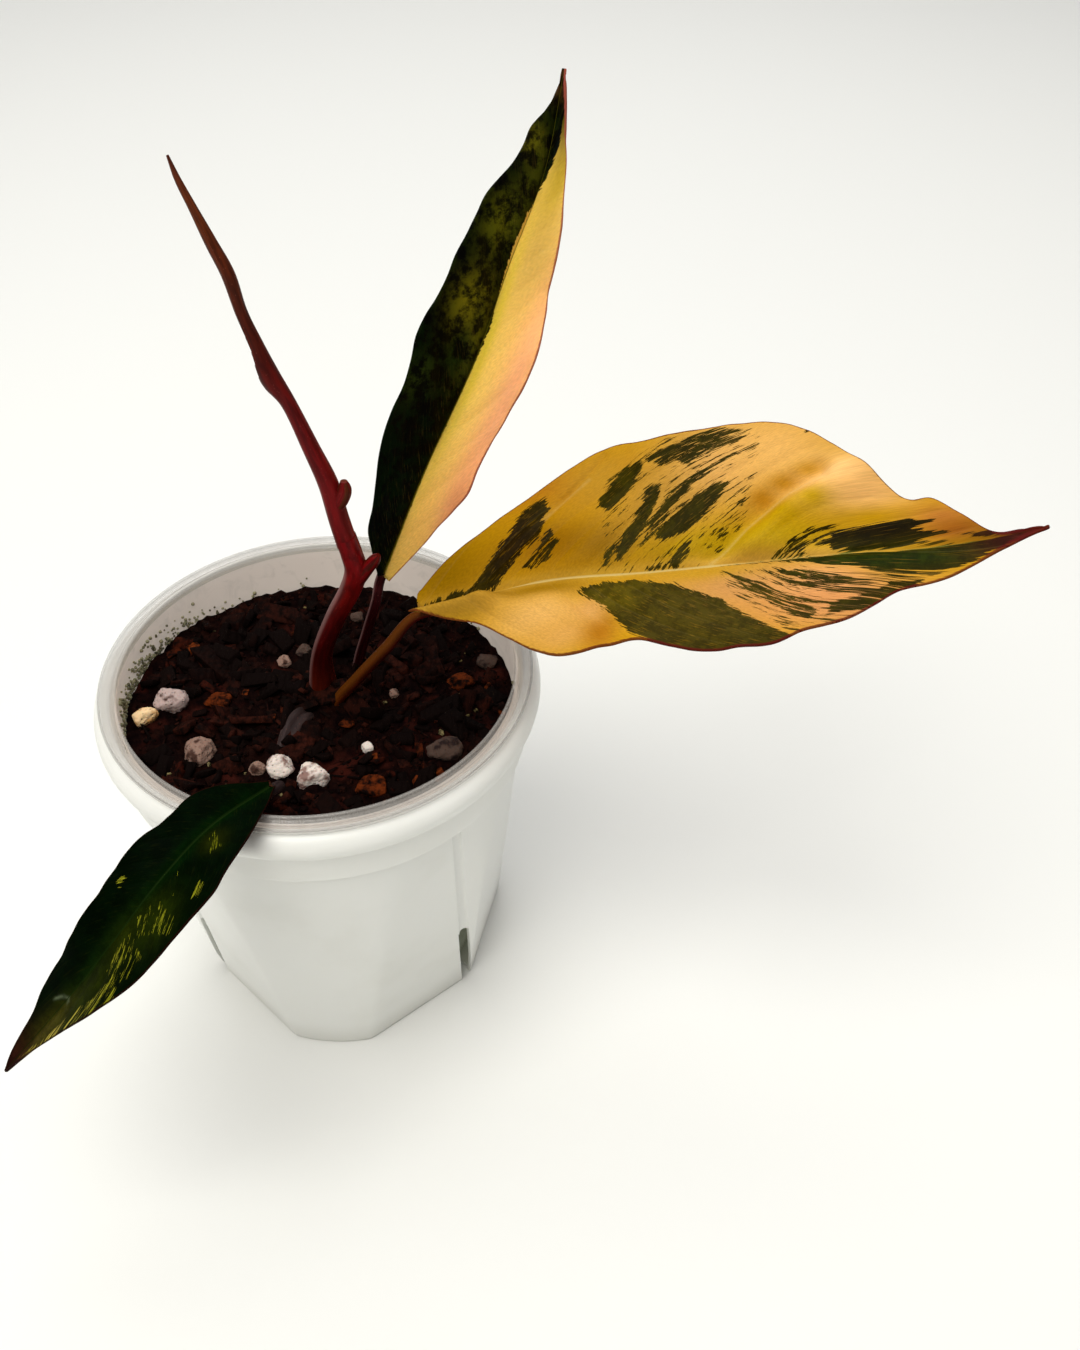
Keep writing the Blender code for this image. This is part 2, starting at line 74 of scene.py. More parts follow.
# Outer pot: a round cone with six flats, three lobes and three corners with a slit
RIM_RADIUS = in_mm("outer_pot")[1].x
RIM_TOP = in_mm("outer_pot")[1].z
POT_TURN = -2.35
POT_WALL = 1.3
POT_FLOOR = 2.0
RIM_ROLL = 4.65
FOOT_RADIUS = 47.7
FOOT_ROUND = 0.9
BODY_TOP_RADIUS = 54.4
BODY_HEIGHT = 88.5
COLLAR_RADIUS = 56.2
COLLAR_TOP = 99.0
FLAT_FROM_LOBE = 41.0
FLAT_AT_FOOT = 42.4
FLAT_AT_TOP = 53.5
FLAT_SOFTNESS = 0.22
SLIT_CORNERS = [(60.0, 1), (180.0, 1), (-60.0, -1)]
SLIT_FROM_CORNER = 1.0
SLIT_LEAN = 11.5
SLIT_WIDTH = 3.8
SLIT_TOP = 31.0
GROOVE_RADIUS = 1.8
GROOVE_DEPTH = 0.9

# Liner pot
FLANGE_RADIUS = in_mm("liner_pot")[1].x
FLANGE_TOP = in_mm("liner_pot")[1].z
LINER_FLOOR = in_mm("liner_pot")[0].z
LINER_WALL = 0.6
LINER_FOOT_RADIUS = 39.5
LINER_BODY_RADIUS = 51.2
LINER_STEP = 89.5
LINER_COLLAR_RADIUS = 54.0
# The flange's moulded rings: how many, how far out from the collar they start, and how far apart they are
MOULDED_RINGS = 4
RINGS_FROM_COLLAR = 1.4
RING_PITCH = 0.62
# The finer rings that are only painted into the flange's finish, as painted shade lines
RING_SPACING = 0.6
# The drain holes: one in the middle and six round it, each as an angle and a distance from the middle
DRAIN_RADIUS = 3.5
DRAINS = [(0.0, 0.0)] + [(math.tau * number / 6, 25.0) for number in range(6)]

# Soil
SOIL_LEVEL = 96.5
SOIL_SLOPE = (-0.03, -0.035)
SOIL_RELIEF = 1.1
SOIL_RADIUS = LINER_COLLAR_RADIUS - LINER_WALL - 0.4

# Lumps on the soil: x, y, radius, height of the middle above the soil, and the finish
LUMPS = {
    "perlite_pitted": (-41.3, -2.0, 4.0, 1.3, "rose"),
    "perlite_cream": (-47.0, -8.5, 3.1, 1.2, "cream"),
    "perlite_rose": (-30.4, -21.3, 4.1, 1.0, "brown"),
    "perlite_round": (-7.4, -28.0, 3.3, 2.6, "white"),
    "perlite_small": (-13.8, -26.8, 2.0, 0.9, "brown"),
    "perlite_wedge": (1.0, -29.6, 3.8, 1.3, "white"),
    "perlite_spark": (14.0, -18.5, 1.5, 0.9, "white"),
    "perlite_dot": (19.0, 4.0, 1.4, 0.8, "brown"),
    "perlite_left": (-13.1, 15.5, 2.1, 0.8, "brown"),
    "perlite_middle": (-8.2, 21.0, 2.1, 0.6, "grey"),
    "perlite_back": (5.5, 36.5, 1.8, 0.8, "grey"),
    "perlite_grey": (34.5, -17.5, 4.0, 0.4, "grey"),
    "perlite_right": (44.6, 18.4, 2.7, 0.5, "grey"),
    "bark_amber": (-29.0, -1.0, 3.2, 0.8, "bark"),
    "bark_brown": (16.8, -32.5, 3.6, 0.8, "bark"),
    "bark_rust": (37.0, 9.5, 3.4, 0.6, "bark"),
    "bark_tan": (7.6, -8.5, 1.8, 0.7, "bark"),
}

# The wedge's own broken faces, as directions whose length is their distance in shares of its radius
BROKEN_FACES = {
    "perlite_wedge": [
        (-0.8, 0.1, 0.1), (0.38, 0.52, 0.1), (0.3, -0.6, 0.1), (-0.1, -0.05, 0.8), (0, 0, -0.8),
    ],
}
# Every other lump's random breaks: how many, and their least and greatest distance
BREAKS = 11
BREAK_DEPTHS = (0.68, 0.95)
LUMP_CRISPNESS = 14
# How far the lumps are drawn out along x, y and z
PERLITE_STRETCH = (1.12, 1.06, 0.9)
BARK_STRETCH = (1.3, 0.9, 0.6)
# How much of its own length a strewn shard keeps clear of a lump
SHARD_CLEARANCE = 0.4
# Heaps of rusty bark: x, y and how far they spread
RUSTY_HEAPS = [
    (-43, 22, 4), (-31, 4, 4.5), (45, 16, 5), (20, -30, 4), (-33, -33, 4), (36, -18, 4), (-3, -38, 3),
]

# Stem and the rolled new leaf: points along the middle, and the radius and the skin's colour along them
STEM_ROUTE = [
    (-1.4, 8, 82), (-1.0, 7, 96), (0.7, 4.4, 111), (5.8, 3.5, 124.5),
    (10.5, 3, 134), (12.8, 2.5, 141), (12.3, 2.5, 146.5), (11.2, 2.5, 152),
]
STEM_RADII = [3.6, 3.9, 2.8, 2.7, 2.8, 2.9, 2.8, 2.75]
STEM_TINTS = ["#3A1408", "#4E1608", "#3A0402", "#440202", "#580402", "#680406", "#68060A", "#64060A"]
STUB_ROUTE = [(11, 2.5, 136), (13.8, 2, 139.6), (16.2, 1.5, 143), (18.2, 1.1, 145.8), (19.3, 0.9, 147.4)]
STUB_RADII = [2.4, 2.0, 1.7, 1.5, 0.6]
STUB_TINTS = ["#580402", "#6A0C0A", "#7A2018", "#8A342C"]
NEW_LEAF_ROUTE = [
    (11.5, 2.5, 149.5), (10.1, 2.5, 158), (8.6, 3, 167.5), (5.5, 3.5, 177.5), (1.8, 4, 189),
    (-1.4, 4.4, 195.5), (-3.6, 5, 203), (-6.0, 5.5, 211), (-7.6, 6, 219.5), (-10.2, 6.5, 226.5),
    (-12.9, 7, 234), (-15, 7.6, 239.5), (-16.3, 8, 244.4),
]
NEW_LEAF_RADII = [2.7, 2.6, 2.5, 2.1, 1.8, 2.4, 1.75, 1.5, 1.65, 1.45, 1.0, 0.75, 0.3]
NEW_LEAF_TINTS = ["#640608", "#66080A", "#5A0A0A", "#441006", "#4C1C0A", "#58260E", "#4E2012"]
BUD_ROUTE = [(9.5, 2.4, 160.5), (11.3, 2.2, 163.5), (12.5, 2.1, 166.4), (12.6, 2.1, 168.8)]
BUD_RADII = [1.6, 2.0, 1.8, 0.9]
BUD_TINTS = ["#6A0A12", "#7A1A1C"]

# How much of a limb's skin pattern lies round it, and how much along each mm of it
GRAIN_ROUND = 1.6
GRAIN_PER_MM = 0.12

BLADE_THICKNESS = 0.6
# The groove over a blade's midrib: its depth, its reach, and how far out it keeps clear of the folds
MIDRIB_SINK = 0.5
MIDRIB_REACH = 0.9
FOLD_FREE_REACH = 2.2
# The coloured midrib's half width at the base and how much narrower it is at the tip
RIB_HALF_WIDTH = 0.65
RIB_NARROWING = 0.4
# The share of a blade's length, before its tip, over which its coloured edge widens
TIP_SHARE = 0.16
# The side veins' spacing and the reach of the groove over each
VEIN_SPACING = 8.5
VEIN_REACH = 0.6
# Past a blade's bend its side veins turn within this length, until they lie nearly along the midrib
VEIN_TURN = 22
VEIN_PACE = 0.15
# Each blade: its midrib, the way its face looks at base and tip, how far each half is folded up in degrees,
# how far each half's ear reaches back past the petiole, and the half widths at even steps from base to tip.
# The wave is its height, how many there are, and where it starts on each half. The side veins lean at the
# base, more per mm towards the tip and more at the edge, and from the bend on they turn along the midrib.
# The swell is how far the blade rises between them. A fold is a rise, a width and a line on the blade's
# plane
WIDE_LEAF = {
    "midrib": [(30, -5, 135), (60.5, -10, 148), (84.5, -14, 154), (108, -17, 159.5), (129.5, -19, 164),
               (151.5, -20, 167), (175, -19, 172)],
    "face": [(0, -0.3, 0.95), (0, -0.3, 0.95)],
    "fold": [(12, 8), (20, 14), (10, 8)],
    "ears": (2.0, 4.5),
    "left": [5, 11.5, 15.5, 19.7, 24.2, 29, 32.2, 33.1, 32.2, 31.8, 32.7, 33.8, 34.7, 34.8, 33.7, 30.8, 26,
             19.8, 15, 12.1, 12, 7.4, 1.5, 0.7, 0.3],
    "right": [3.5, 6.5, 9.8, 16, 21.8, 25.2, 25.6, 23.5, 22.6, 24.2, 26.3, 27.3, 27, 27.2, 24.9, 23, 21,
              16.9, 12.4, 10.8, 9.4, 7, 4.6, 2.4, 0.3],
    "wave": (1.5, 3, 0.1, 0.4),
    "lean": (0.65, 0.008, 0.35),
    "bend": 80,
    "swell": 0.3,
    "folds": [
        (-0.7, 0.8, [(13, -3), (24, -13), (28, -18), (34, -25), (40, -31)]),
        (1.1, 5.0, [(30, -2), (40, -13), (52, -26), (60, -34)]),
        (-2.4, 2.5, [(66, -1), (76, -9.5), (88, -17), (97, -20)]),
        (2.3, 4.6, [(78, -2), (88, -11), (100, -17), (112, -20)]),
        (-0.8, 4.0, [(96, -2), (106, -9), (118, -13)]),
        (4.6, 2.7, [(-5, 3.2), (6, 3.4), (14, 4.0)]),
        (1.6, 4.0, [(14, 5), (26, 9)]),
        (-1.2, 3.0, [(34, 7), (41, 15), (45, 24)]),
        (0.9, 5.0, [(50, 6), (62, 15), (72, 26)]),
        (-0.8, 4.0, [(78, 3), (88, 13), (96, 22)]),
    ],
}
UPRIGHT_LEAF = {
    "midrib": [(18, 15, 130), (30.5, 20, 160), (43.5, 27, 186.5), (52, 36, 207), (60.5, 46, 226),
               (65, 58, 245)],
    "face": [(0.1, -0.95, 0.3), (0.1, -0.95, 0.3)],
    "fold": [(28, 28), (32, 32), (24, 24)],
    "ears": (1.5, 2.0),
    "left": [2, 6, 9.6, 10.8, 12.7, 14.7, 16.2, 16.9, 16.9, 17.9, 19.1, 18.5, 16.9, 16.1, 15.8, 14.8, 14,
             13.4, 11.3, 9, 7.4, 6.2, 2.9, 0.9, 0.3],
    "right": [2.5, 5, 7.4, 9.2, 11.3, 13, 12.9, 13.3, 13.8, 14, 14.4, 14.4, 14, 13.3, 12.1, 11.2, 10, 8.7,
              7.1, 5.8, 4.6, 3.1, 2.2, 1.2, 0.3],
    "wave": (1.2, 4, 0.0, 0.5),
    "lean": (1.3, 0.003, 0.6),
    "bend": 100,
    "swell": 0.16,
    "folds": [
        (0.9, 3.0, [(36, -2), (56, -19)]),
        (-0.9, 3.0, [(50, -2), (70, -17)]),
        (0.8, 3.0, [(66, -2), (86, -15)]),
        (-0.8, 3.0, [(84, -2), (102, -12)]),
        (-0.6, 3.0, [(20, 2), (40, 14)]),
        (0.6, 3.5, [(44, 2), (64, 14)]),
    ],
}
LOW_LEAF = {
    "midrib": [(-6, -45, 112), (-17, -59.5, 114.5), (-27, -71.5, 110), (-37.5, -80, 99.5), (-51, -87, 84),
               (-70, -93, 62)],
    "face": [(0.15, -0.2, 0.95), (-0.2, -0.3, 0.9)],
    "fold": [(14, 14), (16, 16), (10, 10)],
    "ears": (1.5, 1.5),
    "left": [1.5, 4, 6, 8, 9.8, 11, 11.9, 13, 14.5, 15.1, 15.3, 15.2, 14.8, 14.5, 14.1, 13.6, 12.6, 11.3,
             9.8, 8, 6, 4.2, 2.6, 1.6, 0.3],
    "right": [1.5, 3.5, 5.8, 7.5, 8.5, 8.6, 8.1, 8.3, 9.4, 10.1, 10.3, 10.2, 9.9, 9.5, 9.3, 9.2, 8.9, 8.6,
              8.2, 7.8, 6.8, 4.6, 3.2, 1.9, 0.3],
    "wave": (0.8, 3, 0.0, 0.4),
    "lean": (1.0, 0.004, 0.6),
    "bend": 60,
    "swell": 0.1,
    "folds": [(-0.5, 0.5, [(83.5, -2), (84.5, 0), (84.2, 2.4)])],
}
# The markings of each blade, on its own plane: mm along the midrib, then mm across, minus on the left half.
# - patches: the green, with a depth of colour each: 6 is solid, 1 is ragged, below 0 only streaks are left
# - gaps: where the green is thinned to a depth
# - tints of the ground and shades of the marking: a colour, its middle, and its reach along and across
# - lines over the ground or the marking: a colour, its share at the line, its reach, and the line's points.
#   A line can also be a painted glint
# - grain: how ragged the green's edge is, how strong its flecks are, and how fine both are
# - threads: how much ground shows through the green; uneven and mottled: the darkest and lightest of the
#   ground's and the marking's own blotches
# - ribbed: where the coloured midrib starts and ends, on a blade where it doesn't run all the way
# - margins: the coloured edge's width on the left, on the right, and how much more of it at the tip
# - gloss: the shine; glow: how much light comes through the blade
WIDE_LOOKS = {
    "ground": "#BE8C08",
    "marking": "#302A02",
    "rib": "#C8B270",
    "edge": "#561210",
    "gloss": 0.03,
    "glow": 0.04,
    "grain": (9.0, 8.0, 1.2),
    "threads": 0.18,
    "uneven": (0.88, 1.1),
    "mottled": (0.7, 1.15),
    "ribbed": (24, 66),
    "lines": {
        "ground": [
            ("#D2BE7C", 0.3, 0.45, [(66.6, -0.3), (76.5, -8.8), (88.5, -15.9), (96, -18.5), (104, -20.5)]),
            ("#D2BE7C", 0.15, 0.5, [(13, -3), (26.5, -16.8), (36, -25)]),
        ],
        "marking": [("#7E7E30", 0.8, 0.4, [(69, 0), (138, 0)])],
    },
    "tints": [
        # Near the base, the darker mustard left of the midrib (at 5, -7) is the leaf's own colour deepened
        # by painted shade of the valley between the halves, and the pale colour on the lower half (at 26,
        # 12) is its own colour lightened by a painted highlight of its crest
        ("#866000", 5, -7, 13, 12), ("#A4660C", 26, -25, 20, 6), ("#885A00", 28, -9, 13, 8),
        ("#B08220", 38, -25, 10, 8), ("#825A00", 42, -7, 10, 6), ("#B2842C", 56, -16, 14, 12),
        ("#9E7600", 57, -4, 12, 4.5), ("#CE9A52", 71, -25, 10, 8), ("#DCA858", 84, -28, 20, 11),
        # Along the upper half's big fold: the lime tints (at 86, -10 and 94, -13) are painted shade of its
        # valley, the browner chain from 81, -15.5 to 94, -21.5 is painted shade on its dark slope, and the
        # bright peach (at 101, -18 and 108, -14) is the leaf's peach with a painted highlight of the lit
        # crest
        ("#F2C07A", 101, -18, 13, 5), ("#EEB66A", 108, -14, 12, 5), ("#AE8C00", 70, -5, 12, 4),
        ("#B49200", 84, -5, 16, 5), ("#B08A00", 86, -10, 5, 3.5), ("#BC9410", 94, -13, 5, 3),
        ("#B47A14", 81, -15.5, 4, 2.6), ("#BC841E", 87, -19, 5, 2.2), ("#C8922C", 94, -21.5, 5, 1.8),
        ("#B48600", 109, -8, 14, 3), ("#C29A34", 60, 0, 60, 1.6), ("#A87E28", 8, 3, 16, 4),
        ("#D8A658", 26, 12, 11, 7), ("#CC984A", 33, 19, 9, 6), ("#A66A0A", 41.5, 19, 4.5, 7),
        ("#CC9850", 38, 11, 5, 4), ("#946A08", 26, 3, 12, 2.2), ("#BE8A4A", 74, 8, 18, 8),
        ("#E0A468", 95, 11, 11, 8), ("#CC8C50", 98, 16, 26, 9), ("#B88A20", 64, 2, 14, 2.6),
        ("#B0702A", 128, -7, 10, 4), ("#9A5A14", 130, -3.5, 9, 3), ("#4E1C08", 145, 0, 11, 7),
    ],
    "shades": [
        ("#261802", 18, -12, 12, 14), ("#42380A", 64, 16, 26, 14), ("#524608", 44, 8, 8, 6),
        ("#1E2A02", 110, 3, 34, 3.5), ("#160E00", 112, -5, 22, 3.5), ("#38120A", 142, 1, 10, 8),
    ],
    "margins": (0.25, 0.5, 1.6),
    "gaps": [],
    "patches": [
        (6, [(10, -1), (12, -4.6), (16, -10.2), (19, -14.7), (22, -19.2), (24, -21.2), (26, -21.9),
             (27, -19.2), (26, -16.3), (25, -11.5), (21, -8.9), (18, -4.7), (16, -1.6), (14, -0.5)]),
        (0.8, [(21, -4.5), (24, -7.5), (27, -13.5), (29, -9.5), (27, -5.5), (23, -3.2)]),
        (3, [(0, -0.2), (6, -1.6), (12, -2.6), (12, -0.3)]),
        (-1.1, [(39, -1), (42, -8), (38, -17), (42, -25), (52, -29), (62, -33), (78, -34), (81, -31),
                (80, -22), (76, -12), (66, -1), (50, -0.3)]),
        (5, [(39, -16.5), (42, -15.5), (47, -20), (51, -24), (52, -27.5), (46, -26.5), (42, -23),
             (39, -19.5)]),
        (5, [(44, -2.4), (47, -6.2), (52, -12), (55, -17.7), (56, -21), (52, -20), (50, -15.6),
             (46, -10.8), (43, -6)]),
        (1, [(50, -6.4), (55, -10.4), (60, -17), (67, -22), (75, -27.4), (66, -24.2), (58, -19),
             (52, -11.6)]),
        (5, [(54, -7.2), (60, -8.3), (64.5, -11), (69.5, -15.5), (73, -19.8), (69, -20), (64, -17.8),
             (59, -14), (55, -10.2)]),
        (1, [(51, -27.3), (59, -29.7), (66, -32.3), (72, -33.8), (79, -33), (71, -31.2), (64, -28.3),
             (56, -25)]),
        (1, [(60, -26.3), (65, -28.5), (71, -31), (79, -32), (75, -30), (69, -27.5), (63, -24.5)]),
        (1.5, [(50, -0.8), (56, -1.6), (60, -5.2), (63, -7.6), (62, -3.6), (58, -0.6)]),
        (0.4, [(40, -1.5), (41, -6), (46, -10), (43, -6), (41, -2)]),
        (-0.6, [(65, -2), (68, -9), (72, -12.5), (74, -16), (79, -21.5), (78, -17), (72, -10), (67, -3)]),
        (0.6, [(82, -0.5), (87, -3.8), (93, -6.5), (101, -6.6), (100, -3), (92, -2.6), (90, -0.5)]),
        (5, [(98, -0.6), (98, -5.4), (104, -6.2), (118, -7.2), (125, -6), (119, -4.6), (127, -3.3),
             (119, -2.3), (129, -1), (116, -0.5)]),
        (4, [(126, -3), (140, -1.4), (147, -0.5), (138, -0.3)]),
        (6, [(69, 0.3), (92, 0.2), (125, 0.1), (152, 0.1), (146, 2), (142, 3), (137, 4.6), (130, 6.8),
             (125, 8), (117, 6.8), (108, 5.6), (98, 4), (92, 2.4), (84, 1.1)]),
        (0.9, [(104, 5), (116, 6.4), (126, 7.6), (122, 9), (112, 8.6)]),
        (6, [(34, 4.6), (37, 3.2), (42, 2.8), (49, 3.4), (57.5, 5.2), (63, 8.3), (70, 12.5), (76, 17.5),
             (82, 23), (88, 27), (83, 29.5), (69, 29.5), (60, 27.5), (54, 23.5), (49, 20.5), (46, 17),
             (44, 13.5), (38.5, 8.5)]),
        (-0.6, [(69, 3), (83, 3.2), (90, 3.6), (98, 5.2), (108, 7), (119, 9), (115, 13), (106, 19),
                (98, 23.5), (88, 26), (80, 18), (72, 9)]),
        (0.7, [(71, 3.4), (78, 6.5), (86, 12), (93, 18.5), (90, 21.5), (83, 16), (76, 10)]),
        (0.5, [(80, 3.4), (92, 5), (104, 9.5), (113, 12), (106, 15), (96, 12.5), (86, 8)]),
        (1.2, [(95, 20), (104, 19), (114, 13.5), (120, 9.5), (112, 10), (103, 14.5), (96, 16.5)]),
        (6, [(92, -36), (94.5, -30.5), (99, -28.6), (101, -33)]),
    ],
}
UPRIGHT_LOOKS = {
    "ground": "#F4CA60",
    "marking": "#010A01",
    "rib": "#6A6410",
    "edge": "#984C3E",
    "gloss": 0.03,
    "glow": 0.3,
    "grain": (4.0, 3.0, 1.0),
    "threads": 0.04,
    "uneven": (0.88, 1.1),
    "mottled": (0.1, 1.7),
    "lines": {},
    "tints": [
        ("#0A1204", 60, -14, 200, 9), ("#FCB27C", 48, 12, 50, 5), ("#D4AC54", 88, 5, 22, 6),
        ("#F0BE5E", 14, 4, 14, 4), ("#D8905E", 22, 12, 12, 5), ("#D8BC3C", 60, 1.4, 34, 1.6),
        ("#C0A030", 106, 4, 12, 3), ("#4A4006", 122, 2, 11, 5), ("#2E160A", 133, 0, 7, 6),
    ],
    "shades": [
        ("#5A5408", 68, -8, 8, 5), ("#444208", 60, -3, 10, 2.4), ("#444406", 90, -7, 8, 5),
        ("#5A540C", 112, -5, 4, 2.4), ("#101E04", 54, -6, 6, 4), ("#1E2806", 47, -14, 5, 4),
        ("#2E3004", 104, -3, 12, 3), ("#38240E", 130, 0, 5, 5),
    ],
    "margins": (0.0, 0.3, 0.0),
    "gaps": [],
    "patches": [
        (6, [(-5, 0.4), (22, 0.3), (50, 0.2), (64, 0.9), (74, -0.4), (88, -1.2), (95, -0.8), (104, 0.9),
             (112, 2.0), (124, 2.2), (136, 1.8), (136, -25), (-5, -25)]),
    ],
}
LOW_LOOKS = {
    "ground": "#8A8A1C",
    "marking": "#010901",
    "rib": "#16260A",
    "edge": "#200A06",
    "gloss": 0.01,
    "glow": 0.01,
    "grain": (6.0, 9.0, 1.0),
    "threads": 0.016,
    "uneven": (0.25, 1.3),
    "mottled": (0.75, 1.2),
    # The low leaf's one line is a painted glint: a pale arc where the crease near the tip catches the light
    "lines": {"marking": [("#566048", 0.7, 0.34, [(84.7, 2.4), (82.8, 1.2), (82.1, -0.3), (82.1, -1.4)])]},
    "tints": [
        ("#55580A", 24, -4, 8, 6), ("#80821C", 52, -7, 8, 6), ("#B0A044", 86, -4, 14, 5),
        ("#4A180A", 101, 0, 7, 6),
    ],
    "shades": [
        ("#061C04", 50, 0, 60, 1.8), ("#1C2202", 24, -4.2, 4, 2.6), ("#1C2602", 50, -7, 8, 5),
        ("#1C2402", 60, -2, 8, 3), ("#1C2402", 76, -5, 12, 4), ("#3C380A", 90, -2, 8, 3),
        ("#2E120A", 101, 0, 7, 6),
    ],
    "margins": (0.15, 0.15, 0.8),
    "patches": [(6, [(-5, -20), (110, -20), (110, 20), (-5, 20)])],
    "gaps": [
        (0.4, [(21, -1.5), (25, -2.6), (28, -6), (24, -7), (22, -4)]),
        (-0.6, [(48, 6.6), (51, 6.6), (51, 7.6), (48, 7.8)]),
        (-0.6, [(35, -9.5), (39, -11.2), (38.4, -12.4), (35, -10.6)]),
        (2.2, [(32, -2), (44, -2), (46, -7), (40, -8)]),
        (0.9, [(45, -3), (54, -1.6), (57, -6), (52, -10), (49, -14), (45, -12)]),
        (0.9, [(57, -3), (68, -2.6), (70, -9), (64, -12), (58, -11)]),
        (0.3, [(66, -8), (74, -7), (88, -3.5), (99, -0.8), (96, -5), (82, -10), (70, -14)]),
        (1.4, [(80, 1.2), (94, 0.8), (94, 2.6), (83, 3.6)]),
    ],
}

# Each petiole runs from the soil to its blade's base, with the radius at each point
PETIOLES = {
    "wide": (
        [(2.4, 1.6, 83), (3.2, 0.8, 95), (10.6, -2, 107.6), (19.6, -3.8, 120.4)],
        [1.8, 1.75, 1.65, 1.6],
    ),
    "upright": (
        [(7, 14.5, 84), (8, 14.5, 97), (12, 14, 111), (15.2, 14.2, 121)],
        [1.6, 1.5, 1.4, 1.4],
    ),
    "low": (
        [(-3.6, -1.5, 85), (-4.2, -4.5, 96), (-6.6, -11.5, 98.6), (-8.2, -19, 97.4), (-8.8, -27, 95.4),
         (-9.4, -35, 98), (-7.8, -41.5, 106)],
        [1.9, 2.3, 2.3, 1.9, 1.6, 1.5, 1.4],
    ),
}
RIB_RADIUS = 1.35
RIB_TAPER = 1.1
# How far the rib's top lies under the blade's middle, and where its points lie along the midrib. A station
# under 0 lies before the blade's base, in shares of the lead
RIB_DEPTH = 0.75
RIB_STATIONS = [-0.03, 0.04, 0.16, 0.28, 0.4, 0.52, 0.64, 0.76, 0.88]
RIB_LEAD = 130

# The photograph's camera: focal length in pixels of a frame 1080 wide, place, tilt and roll
FOCAL_PIXELS = 1300
FRAME_WIDE = 1080
CAMERA_PLACE = (59.81, -256.52, 348.83)
CAMERA_TILT = 90 - 43.29
CAMERA_ROLL = 0.2

# A range whose ends are eased, so that no pattern in a material has a hard edge
SMOOTH = {"interpolation_type": "SMOOTHSTEP"}


def linear(hex_colour):
    """An sRGB hex colour as linear red, green and blue."""
    values = [int(hex_colour[i:i + 2], 16) / 255 for i in (1, 3, 5)]
    return tuple(v / 12.92 if v <= 0.04045 else ((v + 0.055) / 1.055) ** 2.4 for v in values)


def rgba(hex_colour):
    return (*linear(hex_colour), 1.0)


def node(tree, kind, inputs=(), output=0, **settings):
    """Adds a shader node with its settings, fills or links its inputs, and gives one of its outputs."""
    made = tree.nodes.new(f"ShaderNode{kind}")
    for name, value in settings.items():
        setattr(made, name, value)
    for socket, value in inputs.items() if isinstance(inputs, dict) else enumerate(inputs):
        if isinstance(value, bpy.types.NodeSocket):
            tree.links.new(value, made.inputs[socket])
        else:
            made.inputs[socket].default_value = value
    return made.outputs[output]


def new_material(name, **sockets):
    """A material with one Principled shader, whose plain sockets are set here."""
    material = bpy.data.materials.new(name)
    material.use_nodes = True
    shader = material.node_tree.nodes["Principled BSDF"]
    for socket, value in sockets.items():
        shader.inputs[socket.replace("_", " ")].default_value = value
    return material, material.node_tree


def overlay(tree, tone, pattern, low, high, most, colour):
    """Lays a colour over a tone: none of it where a pattern is at low, and most of it at high."""
    share = node(tree, "MapRange", (pattern, low, high, 0.0, most), **SMOOTH)
    over = rgba(colour) if isinstance(colour, str) else colour
    return node(tree, "Mix", {0: share, 6: tone, 7: over}, 2, data_type="RGBA")


def drifted(tree, value, pattern, strength):
    """A value moved up and down by a pattern, by up to half of the strength each way."""
    offset = node(tree, "Math", (pattern, 0.5), operation="SUBTRACT")
    return node(tree, "Math", (offset, strength, value), operation="MULTIPLY_ADD")


def surface(material, tone, relief=None, rough=None):
    """Links a material's colour, its relief as height, strength and depth, and a roughness that varies."""
    tree = material.node_tree
    shader = tree.nodes["Principled BSDF"]
    tree.links.new(tone, shader.inputs["Base Color"])
    if relief:
        bump = node(tree, "Bump", dict(zip(("Height", "Strength", "Distance"), relief)))
        tree.links.new(bump, shader.inputs["Normal"])
    if rough:
        tree.links.new(rough, shader.inputs["Roughness"])
    return material


def smooth_along(points, t):
    """A smooth curve through evenly spaced values or points, with t from 0 to 1."""
    last = len(points) - 1
    place = min(max(t, 0.0), 1.0) * last
    i = min(int(place), last - 1)
    u = place - i
    b, c = points[i], points[i + 1]
    a = points[i - 1] if i > 0 else 2 * b - c
    d = points[i + 2] if i + 2 <= last else 2 * c - b
    return b + (c - a + (2 * a - 5 * b + 4 * c - d + (3 * (b - c) + d - a) * u) * u) * (0.5 * u)


def vectors(points):
    return [Vector(point) for point in points]


def arc(radius, height, reach, start, end, steps):
    """Points of a round stretch of a turned profile, between two angles in degrees."""
    angles = [math.radians(start + (end - start) * i / steps) for i in range(steps + 1)]
    return [(radius + reach * math.cos(a), height + reach * math.sin(a)) for a in angles]


def turned(profile, sides):
    """A solid of revolution from (radius, height) points that start and end on the axis."""
    mesh_data = bmesh.new()
    verts = [mesh_data.verts.new((radius, 0, height)) for radius, height in profile]
    edges = [mesh_data.edges.new(pair) for pair in zip(verts, verts[1:])]
    turn = {"cent": (0, 0, 0), "axis": (0, 0, 1), "angle": math.tau, "steps": sides, "use_merge": True}
    bmesh.ops.spin(mesh_data, geom=verts + edges, **turn)
    bmesh.ops.remove_doubles(mesh_data, verts=mesh_data.verts, dist=1e-3)
    bmesh.ops.recalc_face_normals(mesh_data, faces=mesh_data.faces)
    return mesh_data


def new_piece(name, mesh_data, *materials, sharp=35):
    """A mesh built in millimetres becomes an object in metres."""
    bmesh.ops.scale(mesh_data, vec=(MM, MM, MM), verts=mesh_data.verts)
    mesh = bpy.data.meshes.new(name)
    mesh_data.to_mesh(mesh)
    mesh_data.free()
    mesh.shade_smooth()
    mesh.set_sharp_from_angle(angle=math.radians(sharp))
    piece = bpy.data.objects.new(name, mesh)
    bpy.context.scene.collection.objects.link(piece)
    for material in materials:
        mesh.materials.append(material)
    return piece


